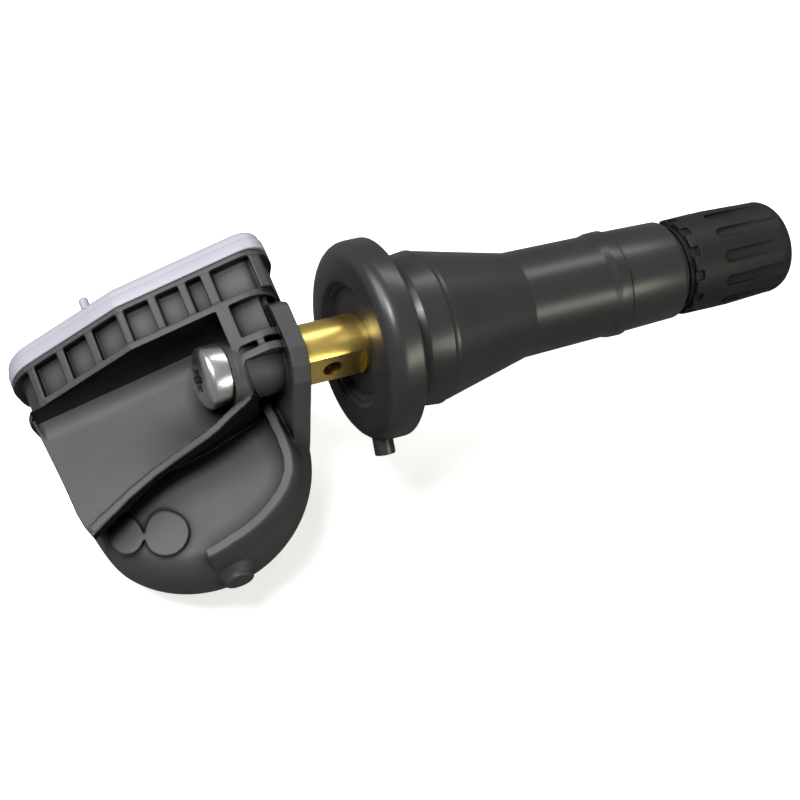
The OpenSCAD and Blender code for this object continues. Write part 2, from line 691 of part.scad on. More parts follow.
module core_spring() {
    steps = 12;
    sides = 8;
    w = spring_wire / 2;
    rings = spring_turns * steps;
    run = spring_x1 - spring_x0 - spring_wire;
    pts = [for (i = [0:rings], k = [0:sides - 1])
        let (a = 360 * i / steps, b = 360 * k / sides, r = spring_mean_r + w * cos(b))
        [spring_x0 + w + run * i / rings + w * sin(b), r * cos(a), r * sin(a)]];
    skin = [for (i = [0:rings - 1], k = [0:sides - 1])
        let (a = i * sides + k, b = i * sides + (k + 1) % sides)
        each [[a, b, a + sides], [b, b + sides, a + sides]]];
    caps = [[for (k = [sides - 1:-1:0]) k], [for (k = [0:sides - 1]) rings * sides + k]];
    color([0.7, 0.7, 0.72]) polyhedron(pts, concat(skin, caps));
}

module valve_cap() {
    color([0.08, 0.08, 0.085]) difference() {
        turned(concat([[cap_x, 0], [cap_x, cap_r - 0.2], [cap_x + 0.2, cap_r - 0.05],
            [cap_x + 0.4 * cap_len, cap_r], [cap_end - 2.8, cap_r - 0.2]],
            arc(cap_end - 2.2, cap_r - 2.45, 2.2, 88, 30, 6), [[cap_end, cap_r - 2.2], [cap_end, 0]]));
        bar(cap_x - 1, cap_floor, cap_bore_r, fine);
        bar(cap_x - 1, cap_x + 0.5, cap_bore_r + 0.3, fine);
        for (i = [0:flute_count - 1]) rotate([360 * i / flute_count, 0, 0]) {
            // notch at the open end
            block([cap_x - 1, -0.6, cap_r - 0.35], [cap_x + 1.15, 0.6, cap_r + 1]);
            // grip flute, half a step further round
            rotate([180 / flute_count, 0, 0]) {
                block([flute_x + flute_w / 2, -flute_w / 2, cap_r - flute_depth],
                    [cap_end + 1, flute_w / 2, cap_r + 1]);
                translate([flute_x + flute_w / 2, 0, cap_r - flute_depth])
                    cylinder(r = flute_w / 2, h = flute_depth + 1, $fn = 32);
            }
        }
    }
}

module cap_seal() {
    color([0.2, 0.2, 0.2]) bar(cap_seal_x, cap_seal_x + cap_seal_t, cap_bore_r - 0.1, fine);
}

sensor_housing();
housing_lid();
circuit_board();
coin_cell();
battery_tab_positive();
battery_tab_negative();
pressure_chip();
port_gasket();
wake_coil_core();
wake_coil_winding();
transmit_antenna();
crystal_can();
chip_capacitors();
mounting_screw();
valve_stem();
rubber_valve_body();
core_barrel();
core_barrel_seal();
core_pin();
core_cup();
core_cup_seal();
core_spring();
valve_cap();
cap_seal();
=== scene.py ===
"""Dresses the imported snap-in tyre pressure sensor: case, lid, rubber valve, brass stem, screw and cap."""

import math

import bmesh
import bpy
import numpy as np
from bpy.props import FloatProperty, FloatVectorProperty, IntProperty, PointerProperty
from mathutils import Matrix, Vector


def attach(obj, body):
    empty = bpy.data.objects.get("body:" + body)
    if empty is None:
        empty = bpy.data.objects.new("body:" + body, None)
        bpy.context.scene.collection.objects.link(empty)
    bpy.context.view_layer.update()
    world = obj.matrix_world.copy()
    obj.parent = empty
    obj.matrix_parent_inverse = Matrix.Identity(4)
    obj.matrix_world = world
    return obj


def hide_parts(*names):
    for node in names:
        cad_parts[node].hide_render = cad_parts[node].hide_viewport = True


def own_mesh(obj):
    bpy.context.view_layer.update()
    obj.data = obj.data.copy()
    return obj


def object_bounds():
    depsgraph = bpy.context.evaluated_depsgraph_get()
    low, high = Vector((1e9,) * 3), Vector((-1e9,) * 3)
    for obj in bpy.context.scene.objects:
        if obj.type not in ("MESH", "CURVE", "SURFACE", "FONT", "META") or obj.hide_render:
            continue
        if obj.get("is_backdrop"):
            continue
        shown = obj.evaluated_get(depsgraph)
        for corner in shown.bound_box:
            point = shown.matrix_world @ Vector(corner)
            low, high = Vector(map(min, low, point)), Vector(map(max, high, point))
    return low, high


bl_info = {
    "name": "Tyre pressure sensor",
    "version": (1, 0, 0),
    "blender": (4, 5, 0),
    "location": "View3D > Sidebar > Tyre sensor",
    "description": "Moulded case, lid, rubber valve, threaded stem, screw and cap with their finishes",
    "category": "Object",
}

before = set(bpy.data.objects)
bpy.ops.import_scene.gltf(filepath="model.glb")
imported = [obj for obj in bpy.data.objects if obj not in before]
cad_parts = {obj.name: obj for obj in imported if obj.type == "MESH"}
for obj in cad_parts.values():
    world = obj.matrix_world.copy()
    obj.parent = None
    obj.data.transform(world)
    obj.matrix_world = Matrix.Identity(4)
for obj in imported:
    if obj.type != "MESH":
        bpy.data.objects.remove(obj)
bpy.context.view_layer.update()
MM = 0.001
# the case leans against the valve, so its own axes are turned about Y
CASE_TURN = Matrix.Rotation(math.radians(-25), 4, "Y")
# where the rubber's stub and the stem's flat lie, in degrees about the valve's axis
STUB_TURN, FLAT_TURN = 214, 172
CASE_TRIANGLES, CAP_TRIANGLES = 190000, 150000
# what the lights aim at, how far from it they are in metres, and how much the camera sees the floor glow
AIM, LIGHT_DISTANCE, FLOOR_GLOW = Vector((0.002, 0, 0)), 0.46, 0.62


# ---------- sizes and colours that a user may change


def length(name, description, default):
    return FloatProperty(
        name=name, description=description, default=default * MM, min=0, max=1, subtype="DISTANCE", unit="LENGTH"
    )


def colour(name, description, default):
    return FloatVectorProperty(
        name=name, description=description, default=default, size=3, min=0, max=1, subtype="COLOR"
    )


def share(name, description, default):
    return FloatProperty(name=name, description=description, default=default, min=0, max=1, subtype="FACTOR")


def power(name, description, default):
    return FloatProperty(name=name, description=description, default=default, min=0, unit="POWER")


class CaseSizes(bpy.types.PropertyGroup):
    grain: length("Mesh step", "Edge length of the case's fine mesh", 0.1)
    floor_flat: length("Flat floor radius", "Radius at which the recess floor starts to roll over", 8.7)
    rim_width: length("Step rim width", "Width of the flat rim along the step", 0.7)
    rim_rise: length("Step rim height", "Height of that rim over the upper face", 0.16)
    pad_rise: length("Pad height", "Height of the two round pads over the recess floor", 0.45)
    lid_edge: length("Lid edge radius", "Radius of the lid's outer edge", 0.8)
    lid_panel: length("Lid panel depth", "Depth of the shallow panel in the lid's outer face", 0.12)
    port_radius: length("Air port radius", "Radius of the air port through the lid", 0.6)


class ValveSizes(bpy.types.PropertyGroup):
    facets: IntProperty(name="Facets", description="Facets around the turned pieces", default=192, min=48, max=256)
    crease: length("Ridge crease depth", "Depth of the crease behind the snap ridge", 0.14)
    stub_radius: length("Stub radius", "Radius of the moulding stub on the flange", 1.0)
    stub_reach: length("Stub reach", "Reach of the stub past the flange's edge", 1.4)
    thread_pitch: length("Thread pitch", "Pitch of the cap thread, 32 turns to the inch", 0.794)
    thread_depth: length("Thread depth", "Depth of the cap thread", 0.45)
    flat_cut: length("Flat depth", "Depth of the flat on the stem's foot", 0.65)
    hole_radius: length("Air hole radius", "Radius of the air hole in the flat", 0.95)


class CapSizes(bpy.types.PropertyGroup):
    grain: length("Mesh step", "Edge length of the cap's fine mesh", 0.075)
    flutes: IntProperty(name="Flutes", description="Grip flutes around the cap", default=12, min=6, max=24)
    flute_width: length("Flute width", "Width of a grip flute", 1.15)
    flute_depth: length("Flute depth", "Depth of a grip flute", 0.35)
    notch_width: length("Notch width", "Width of a notch at the open end", 1.0)
    notch_length: length("Notch length", "Length of a notch along the cap", 0.85)


class ScrewSizes(bpy.types.PropertyGroup):
    lobe_radius: length("Drive radius", "Mean radius of the six-lobed drive", 1.12)
    lobe_wave: length("Lobe height", "Height of the drive's lobes over the mean radius", 0.2)
    drive_depth: length("Drive depth", "Depth of the drive", 1.3)


class Finishes(bpy.types.PropertyGroup):
    case: colour("Case plastic", "Colour of the moulded case", (0.046, 0.046, 0.049))
    lid: colour("Lid plastic", "Colour of the lid", (0.42, 0.41, 0.47))
    rubber: colour("Valve rubber", "Colour of the rubber", (0.027, 0.027, 0.028))
    cap: colour("Cap plastic", "Colour of the cap", (0.017, 0.017, 0.018))
    brass: colour("Brass", "Colour of the turned brass", (1.0, 0.72, 0.20))
    steel: colour("Screw steel", "Colour of the screw", (0.72, 0.72, 0.73))
    board: colour("Circuit board", "Colour of the solder mask", (0.02, 0.14, 0.06))
    case_gloss: share("Case roughness", "Roughness of the case plastic", 0.54)
    rubber_gloss: share("Rubber roughness", "Roughness of the rubber", 0.32)


class StudioSettings(bpy.types.PropertyGroup):
    key: power("Key light", "Power of the upper left softbox", 1.5)
    fill: power("Fill light", "Power of the softbox straight above the case", 1.5)
    top: power("Top light", "Power of the long top softbox", 0.46)
    warm: power("Warm light", "Power of the warm lower softbox", 0.62)
    world: share("World", "Strength of the pale surroundings", 0.13)
    bounce: share("Floor bounce", "Share of light that the floor gives back to the object", 0.2)
    floor: colour("Floor", "Colour of the floor", (0.86, 0.86, 0.86))


# ---------- mesh tools, in millimetres


def corner_arc(a, p, b, radius, steps):
    """Points of a round corner at p between a and b, no larger than its two sides allow."""
    u, v = Vector(a) - Vector(p), Vector(b) - Vector(p)
    reach = 0.49 * min(u.length, v.length)
    if reach < 1e-6 or radius <= 0:
        return [tuple(p)]
    u.normalize(), v.normalize()
    angle = u.angle(v)
    if not math.radians(4) <= angle <= math.radians(176):
        return [tuple(p)]
    back = min(radius / math.tan(angle / 2), reach)
    radius = back * math.tan(angle / 2)
    centre = Vector(p) + (u + v).normalized() * (radius / math.sin(angle / 2))
    first, last = Vector(p) + u * back - centre, Vector(p) + v * back - centre
    sweep = first.angle(last)
    points = []
    for i in range(steps + 1):
        t = i / steps
        w = (first * math.sin((1 - t) * sweep) + last * math.sin(t * sweep)) / math.sin(sweep)
        points.append(tuple(centre + w))
    return points


def soften(profile):
    """A closed profile of points (x, r, rounding) with its corners rounded."""
    n = len(profile)
    out = []
    for i in range(n):
        out += corner_arc(profile[i - 1][:2], profile[i][:2], profile[(i + 1) % n][:2], profile[i][2], 6)
    return out


def ring_mesh(rings, closed=False):
    """A skin over rings of points. closed joins the last ring to the first; otherwise both ends are capped."""
    bm = bmesh.new()
    made = [[bm.verts.new(Vector(p) * MM) for p in ring] for ring in rings]
    pairs = list(zip(made, made[1:] + (made[:1] if closed else [])))
    for a, b in pairs[: len(made) if closed else len(made) - 1]:
        n = max(len(a), len(b))
        for i in range(n):
            j = (i + 1) % n
            if len(a) == 1:
                bm.faces.new((a[0], b[j], b[i]))
            elif len(b) == 1:
                bm.faces.new((a[i], a[j], b[0]))
            else:
                bm.faces.new((a[i], a[j], b[j], b[i]))
    if not closed:
        for ring in (made[0], made[-1]):
            if len(ring) > 2:
                bm.faces.new(ring)
    bmesh.ops.recalc_face_normals(bm, faces=bm.faces)
    return bm


def turns(n):
    """The angles of n points around a circle."""
    return [2 * math.pi * i / n for i in range(n)]


def turned(profile, facets, closed=False, reach=None):
    """A solid turned about the valve's axis from points (x, radius). reach(x, angle, radius) may change the radius."""
    rings = []
    for x, r in profile:
        if r < 1e-6:
            rings.append([(x, 0, 0)])
            continue
        ring = [(a, reach(x, a, r) if reach else r) for a in turns(facets)]
        rings.append([(x, d * math.cos(a), d * math.sin(a)) for a, d in ring])
    return ring_mesh(rings, closed)


def rod(start, end, radius, facets=48, edge=0.0):
    """A round rod from start to end, with its end's edge rounded by edge."""
    a, b = Vector(start), Vector(end)
    along = (b - a).normalized()
    side = along.orthogonal().normalized()
    up = along.cross(side)
    steps = [(0.0, radius)]
    if edge:
        for i in range(5):
            t = math.radians(90 * i / 4)
            steps.append(((b - a).length - edge + edge * math.sin(t), radius - edge * (1 - math.cos(t))))
    else:
        steps.append(((b - a).length, radius))
    circle = [side * math.cos(t) + up * math.sin(t) for t in turns(facets)]
    return ring_mesh([[a + along * d + spoke * r for spoke in circle] for d, r in steps])


def brick(low, high):
    """A block between two corners."""
    (x0, y0, z0), (x1, y1, z1) = low, high
    return ring_mesh([[(x0, y0, z), (x1, y0, z), (x1, y1, z), (x0, y1, z)] for z in (z0, z1)])


def into(bm, other, turn=None):
    """Adds another mesh to bm, turned if a matrix is given, and frees it."""
    if turn is not None:
        other.transform(turn)
    spare = bpy.data.meshes.new("spare")
    other.to_mesh(spare)
    other.free()
    bm.from_mesh(spare)
    bpy.data.meshes.remove(spare)


def placed(name, data):
    """A scene object for a mesh, a light or a camera."""
    made = bpy.data.objects.new(name, data)
    bpy.context.scene.collection.objects.link(made)
    return made


def solid(name, bm):
    """A scene object from bm."""
    mesh = bpy.data.meshes.new(name)
    bm.to_mesh(mesh)
    bm.free()
    return placed(name, mesh)


def settle(obj):
    """Makes an object's modifiers part of its mesh."""
    bpy.context.view_layer.update()
    evaluated = obj.evaluated_get(bpy.context.evaluated_depsgraph_get())
    mesh = bpy.data.meshes.new_from_object(evaluated)
    old = obj.data
    obj.modifiers.clear()
    obj.data = mesh
    bpy.data.meshes.remove(old)
    mesh.name = obj.name


def change(obj, kind, **settings):
    """Makes one modifier of that kind, with its settings, part of an object's mesh."""
    step = obj.modifiers.new("step", kind)
    for key, value in settings.items():
        setattr(step, key, value)
    settle(obj)


def carve(obj, tool_mesh, how="DIFFERENCE"):
    """Cuts tool_mesh out of an object, or joins it on with how="UNION"."""
    tool = solid("tool", tool_mesh)
    change(obj, "BOOLEAN", object=tool, operation=how, solver="EXACT")
    gone = tool.data
    bpy.data.objects.remove(tool)
    bpy.data.meshes.remove(gone)
    if not obj.data.polygons:
        raise RuntimeError(f"nothing is left of {obj.name} after a cut")


def even_out(obj, step, times, amount):
    """Lays a fine even mesh over an object, which rounds its edges, and relaxes the steps it leaves on slanted ones."""
    change(obj, "REMESH", mode="VOXEL", voxel_size=step, use_smooth_shade=True)
    change(obj, "SMOOTH", factor=amount, iterations=times)


def thin_out(obj, most):
    """Brings an object's triangles down to about most."""
    obj.data.calc_loop_triangles()
    count = len(obj.data.loop_triangles)
    if count > most:
        change(obj, "DECIMATE", ratio=most / count)


def points_of(obj):
    co = np.empty(len(obj.data.vertices) * 3)
    obj.data.vertices.foreach_get("co", co)
    return co.reshape(-1, 3) / MM


def set_points(obj, co):
    obj.data.vertices.foreach_set("co", (co * MM).ravel())
    obj.data.update()


def smooth_sides(obj, limit):
    """Smooth shading, with the edges sharper than limit degrees kept crisp."""
    bm = bmesh.new()
    bm.from_mesh(obj.data)
    for f in bm.faces:
        f.smooth = True
    for e in bm.edges:
        e.smooth = e.calc_face_angle(math.pi) < math.radians(limit)
    bm.to_mesh(obj.data)
    bm.free()


def dress(obj, material, body, finish, *nodes):
    """Gives a new piece its material and body, and hides the CAD nodes that it stands for; finish is not used."""
    obj.data.materials.clear()
    obj.data.materials.append(material)
    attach(obj, body)
    if nodes:
        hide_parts(*nodes)


def paint(material, *nodes):
    """Gives CAD nodes a finish."""
    for node in nodes:
        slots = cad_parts[node].data.materials
        slots.clear()
        slots.append(material)


# ---------- outline of the case, in its own frame


CASE_RIGHT, CASE_LEFT, CASE_TOP, CASE_BOTTOM = -6.75, -34.55, 8.95, -6.95
CASE_MID = (CASE_TOP + CASE_BOTTOM) / 2
# where the outline's long sides bend towards the left end, and by how much
KINK_X, KINK_DROP = -21.55, 3.8
LID_SEAT, LID_TOP = 9.9, 12.2
DOME_X, DOME_Y, DOME_TOP_R, FLOOR_Z = -22.15, -3.75, 10.48, 1.0
BELLY_R, BELLY_Z, STRIP_Z = 11.55, -3.0, 2.3
STEP_RIGHT, STEP_LEFT = (-13.3, -3.0), (-31.4, -7.4)
FACE_RIGHT, FACE_R, STEP_TOP = -13.0, 10.38, 7.1
TROUGH_Z, BAND_LOW = 4.1, 5.55
# how far the raised strip leads wide of the dome's circle, as points (angle, distance)
STRIP_LEAD = ((-100, 0), (-94, 0), (-79, -0.15), (-66, 0.1), (-54, 0.4), (-41, 0.8), (-32, 0.85), (-25, 0.6))
STRIP_LEAD += ((-18, 0.2), (-7, -0.26), (4, -0.43), (17, -0.05))
# how far the step's edge stands out, and how far the foot of its wall stands back, as points (x, distance)
LIP_REACH = ((-32, -1.0), (-31, -1.0), (-28.8, -0.86), (-27, -0.56), (-24.3, -0.4), (-22.1, -0.5), (-20, -0.72))
LIP_REACH += ((-18.3, -0.92), (-17.2, -0.96), (-15.8, -0.8), (-13.1, -0.65))
WALL_SETBACK = ((-32, 0.55), (-30.4, 0.58), (-28.6, 0.75), (-26, 1.1), (-24.2, 1.42), (-21.8, 0.94), (-19.3, 0.54))
WALL_SETBACK += ((-16.8, 0.4), (-13.6, 0.07))
# the reach along x in which the step is shaped, and how deep the floors of the bays lie
STEP_SPAN = (-33.0, -12.5)
BAY_DEPTH = (0.75, 1.3)


def case_outline(inset, steps):
    """The case's outline as points (x, z), moved inwards by inset."""
    corners = [(CASE_RIGHT - 3.9, CASE_BOTTOM), (CASE_RIGHT, 4.8), (CASE_RIGHT, CASE_TOP), (KINK_X, CASE_TOP)]
    corners += [(CASE_LEFT, CASE_TOP - KINK_DROP), (CASE_LEFT, CASE_BOTTOM + KINK_DROP), (KINK_X, CASE_BOTTOM)]
    n = len(corners)
    moved = []
    for i in range(n):
        a, p, b = (Vector(corners[j % n]) for j in (i - 1, i, i + 1))
        u, v = (p - a).normalized(), (b - p).normalized()
        nu, nv = Vector((-u.y, u.x)), Vector((-v.y, v.x))
        moved.append(tuple(p + (nu + nv) * (inset / (1 + nu.dot(nv)))))
    radii = [max(r - inset, 0.5) for r in (2.6, 4, 2.6, 2, 4.2, 4.2, 2)]
    out = []
    for i in range(n):
        out += corner_arc(moved[i - 1], moved[i], moved[(i + 1) % n], radii[i], steps)
    return out


def case_layers(layers, steps):
    """A solid over (height, inset) layers of the case's outline."""
    return ring_mesh([[(x, y, z) for x, z in case_outline(inset, steps)] for y, inset in layers])


def step_edge(x):
    """The point on the edge of the step between the upper face and the recess, at x."""
    t = (STEP_RIGHT[0] - x) / (STEP_RIGHT[0] - STEP_LEFT[0])
    y = STEP_RIGHT[1] + (STEP_LEFT[1] - STEP_RIGHT[1]) * (0.62 * t + 0.38 * t**4)
    y -= 0.55 * math.sin(math.pi * min(t, 1))
    t = (FACE_RIGHT - x) / (FACE_RIGHT - DOME_X + DOME_TOP_R - 0.1)
    z = STEP_TOP - 1.15 * (1 - math.cos(math.pi * min(1.35 * t, 1))) + 0.5 * t**3
    return Vector((x, y, z))


def edge_lines(x):
    """The y and z of the step's edge at every x."""
    along = np.linspace(*STEP_SPAN, 80)
    edge = np.array([step_edge(v) for v in along])
    return np.interp(x, along, edge[:, 1]), np.interp(x, along, edge[:, 2])


def upper_face(x, y, spread, sharpness):
    """Height of the case's upper face over x and y, with where it applies; the last two shape its right end."""
    left = DOME_X - FACE_R - 1.05 * (y - DOME_Y) / (BAND_LOW - DOME_Y)
    round_left = DOME_X - np.sqrt(np.maximum(FACE_R**2 - (y - DOME_Y) ** 2, 0))
    left = np.where(y < DOME_Y, round_left, left)
    u = (FACE_RIGHT - x) / (FACE_RIGHT - left)
    along = np.linspace(0, 1, 60)
    edge = np.array([step_edge(FACE_RIGHT + (DOME_X - FACE_R - FACE_RIGHT) * v) for v in along])
    edge_y, edge_z = np.interp(u, along, edge[:, 1]), np.interp(u, along, edge[:, 2])
    v = (BAND_LOW - y) / (BAND_LOW - edge_y)
    there = ease((y - edge_y - 0.8) / 0.4) * ease((1 - u) * 25) * (u > 0) * (v > 0)
    bend = np.clip(v, 0, 1) ** (1 + spread * np.clip(1 - u, 0, 1) ** sharpness)
    return TROUGH_Z + (edge_z - TROUGH_Z) * (1 - np.cos(math.pi * bend)) / 2, there


def ease(t):
    """0 to 1 with soft ends."""
    t = np.clip(t, 0, 1)
    return t * t * (3 - 2 * t)


def around_dome(profile_at, start, end, steps):
    """A solid swept about the dome's axis from start to end in degrees. profile_at(angle) gives its points (r, z)."""
    rings = []
    for i in range(steps + 1):
        angle = start + (end - start) * i / steps
        a = math.radians(angle)
        rings.append([(DOME_X + r * math.cos(a), DOME_Y + r * math.sin(a), z) for r, z in profile_at(angle)])
    return ring_mesh(rings)


# ---------- shader groups that several finishes share


def set_input(tree, socket, value):
    """Gives an input a value, or links it to another node's output."""
    if isinstance(value, bpy.types.NodeSocket):
        tree.links.new(value, socket)
    else:
        socket.default_value = value


def feed(tree, node, **values):
    """Sets a node's inputs and properties by name; _ stands for a space in an input's name."""
    for key, value in values.items():
        label = key.replace("_", " ")
        if label in node.inputs:
            set_input(tree, node.inputs[label], value)
        else:
            setattr(node, key, value)
    return node


def add(tree, kind, **values):
    """A new node, fed with values."""
    return feed(tree, tree.nodes.new(kind), **values)


def new_group(name, inputs, *outputs):
    """An empty shader group with inputs {name: default} and outputs, which are numbers unless named Colour."""
    tree = bpy.data.node_groups.new(name, "ShaderNodeTree")
    for label, default in inputs.items():
        kind = "NodeSocketColor" if isinstance(default, tuple) else "NodeSocketFloat"
        tree.interface.new_socket(label, in_out="INPUT", socket_type=kind).default_value = default
    for label in outputs:
        kind = "NodeSocketColor" if label == "Colour" else "NodeSocketFloat"
        tree.interface.new_socket(label, in_out="OUTPUT", socket_type=kind)
    start, end = tree.nodes.new("NodeGroupInput"), tree.nodes.new("NodeGroupOutput")
    start.location, end.location = (-600, 0), (600, 0)
    return tree, start, end


def maths(tree, how, *values, clamp=False):
    """A Math node on numbers or sockets; gives its output."""
    node = add(tree, "ShaderNodeMath", operation=how, use_clamp=clamp)
    for i, value in enumerate(values):
        set_input(tree, node.inputs[i], value)
    return node.outputs[0]


def blend_colours(tree, amount, a, b):
    """Mix of two colours, each a tuple or a socket; gives its output."""
    node = add(tree, "ShaderNodeMix", data_type="RGBA")
    for i, value in ((0, amount), (6, a), (7, b)):
        set_input(tree, node.inputs[i], value)
    return node.outputs[2]


def place_of(tree):
    """The point on the object, in metres."""
    return tree.nodes.new("ShaderNodeTexCoord").outputs["Object"]


def noise(tree, where, scale, detail, rough):
    """Soft noise over the places where; gives its value."""
    return add(tree, "ShaderNodeTexNoise", Vector=where, Scale=scale, Detail=detail, Roughness=rough).outputs["Fac"]


def group_surface(name, grain, stretch, fine, broad, fine_share):
    """A fine height and an uneven gloss, as the skin of a moulding or the rings on a turned piece.

    grain labels the input for the fine noise's scale, fine holds its detail and roughness, broad has the scale too.
    """
    inputs = {grain: 9000.0, "Roughness": 0.4, "Gloss spread": 0.1}
    tree, start, end = new_group(name, inputs, "Height", "Roughness")
    where = place_of(tree)
    along = add(tree, "ShaderNodeMapping", Vector=where, Scale=stretch).outputs["Vector"]
    height = noise(tree, along, start.outputs[grain], *fine)
    slow = maths(tree, "MULTIPLY", noise(tree, where, *broad), 1 - fine_share)
    off = maths(tree, "SUBTRACT", maths(tree, "ADD", maths(tree, "MULTIPLY", height, fine_share), slow), 0.5)
    rough = maths(tree, "MULTIPLY_ADD", off, start.outputs["Gloss spread"], start.outputs["Roughness"], clamp=True)
    feed(tree, end, Height=height, Roughness=rough)
    return tree


def group_uneven_colour():
    """A colour that varies slowly towards a second one, as pigment does in a moulding."""
    inputs = {"Colour": (0.5, 0.5, 0.5, 1), "Second colour": (0.45, 0.45, 0.45, 1), "Patches per metre": 250.0}
    tree, start, end = new_group("Uneven colour", inputs, "Colour")
    patch = noise(tree, place_of(tree), start.outputs["Patches per metre"], 4.0, 0.6)
    spread = add(tree, "ShaderNodeMapRange", Value=patch, From_Min=0.35, From_Max=0.65).outputs["Result"]
    feed(tree, end, Colour=blend_colours(tree, spread, start.outputs["Colour"], start.outputs["Second colour"]))
    return tree


def group_crevice_shade():
    """How open a spot is to its surroundings, from 0 deep in a corner to 1 on a free face; finishes use it to paint
    shade into corners and recesses.
    """
    tree, start, end = new_group("Painted crevice shade", {"Reach": 0.0015, "Depth": 1.0}, "Open")
    near = add(tree, "ShaderNodeAmbientOcclusion", samples=8, Distance=start.outputs["Reach"]).outputs["AO"]
    feed(tree, end, Open=maths(tree, "POWER", near, start.outputs["Depth"]))
    return tree


GROUPS = {}


def use(tree, name, **values):
    """Places a shared group, which is built at the first call, and feeds it with values."""
    if not GROUPS:
        GROUPS["colour"], GROUPS["crevice_shade"] = group_uneven_colour(), group_crevice_shade()
        for key, *args in (
            ("skin", "Moulded skin", "Grain per metre", (1, 1, 1), (3.0, 0.6), (160.0, 3.0, 0.55), 0.5),
            ("turning", "Turning marks", "Rings per metre", (1, 0.012, 0.012), (2.0, 0.7), (220.0, 3.0, 0.6), 0.55),
        ):
            GROUPS[key] = group_surface(*args)
    node = tree.nodes.new("ShaderNodeGroup")
    node.node_tree = GROUPS[name]
    return feed(tree, node, **values)


def finish_named(name):
    """A new material with its Principled shader and node tree."""
    made = bpy.data.materials.new(name)
    made.use_nodes = True
    tree = made.node_tree
    return made, tree, tree.nodes["Principled BSDF"]


def dim(rgb, by):
    """A colour, with or without its fourth value, times by and with a fourth value of 1."""
    return tuple(c * by for c in rgb[:3]) + (1.0,)


def bump(tree, height, depth):
    """The normals that a height gives; depth is in metres."""
    return add(tree, "ShaderNodeBump", Strength=1.0, Distance=depth, Height=height).outputs["Normal"]


def surfaced(name, rgb, second, patches, marks, depth, corners, reach, painted_shade_colour):
    """A material with uneven colour, fine marks (a group and its values) and painted shade that darkens it towards
    painted_shade_colour in corners and recesses.
    """
    made, tree, shader = finish_named(name)
    tint = use(tree, "colour", Colour=dim(rgb, 1), Second_colour=dim(second, 1), Patches_per_metre=patches)
    skin = use(tree, marks[0], **marks[1]).outputs
    # painted shade: how open each spot is, which darkens the colour in corners and recesses
    deep = use(tree, "crevice_shade", Depth=corners, Reach=reach).outputs["Open"]
    shaded = blend_colours(tree, deep, painted_shade_colour, tint.outputs["Colour"])
    feed(tree, shader, Base_Color=shaded, Roughness=skin["Roughness"], Normal=bump(tree, skin["Height"], depth))
    return made, tree, shader, deep


def moulded(name, rgb, second, rough, spread, grain, depth, patches=250.0, corners=1.0, shine=0.5, reach=0.0015):
    """A moulded plastic or rubber; corners sets how strongly painted shade darkens its colour and reflection in corners
    and recesses, and shine is how strongly it reflects.
    """
    skin = ("skin", {"Grain per metre": grain, "Roughness": rough, "Gloss spread": spread})
    # near-black colour of the painted shade in corners
    dark = (0.001, 0.001, 0.001, 1)
    made, tree, shader, deep = surfaced(name, rgb, second, patches, skin, depth, corners, reach, dark)
    # the painted shade also dims the reflection in corners
    feed(tree, shader, Specular_IOR_Level=maths(tree, "MULTIPLY", deep, shine))
    return made


def machined(name, rgb, second, rough, spread, rings, depth, corners=1.0):
    """A turned or drawn metal; corners sets how strongly painted shade darkens it in corners and recesses."""
    marks = ("turning", {"Rings per metre": rings, "Roughness": rough, "Gloss spread": spread})
    # colour of the painted shade in corners: a far darker copy of the metal's colour
    dark = dim([c * c for c in rgb], 0.1)
    made, tree, shader, _ = surfaced(name, rgb, second, 400.0, marks, depth, corners, 0.0012, dark)
    feed(tree, shader, Metallic=1.0)
    return made


def patterned(name, kind, settings, turn, rgb, tones, grain, rough, depth, metallic):
    """A finish whose colour and height follow a pattern node, turned by degrees about X, Y and Z."""
    made, tree, shader = finish_named(name)
    where = add(tree, "ShaderNodeMapping", Vector=place_of(tree), Rotation=[math.radians(a) for a in turn])
    pattern = add(tree, kind, Vector=where.outputs["Vector"], Scale=900.0, **settings).outputs["Fac"]
    skin = use(tree, "skin", Grain_per_metre=grain, Roughness=rough, Gloss_spread=0.1).outputs["Roughness"]
    tint = blend_colours(tree, pattern, dim(rgb, tones[0]), dim(rgb, tones[1]))
    feed(tree, shader, Base_Color=tint, Roughness=skin, Metallic=metallic, Normal=bump(tree, pattern, depth))
    return made


# ---------- operators


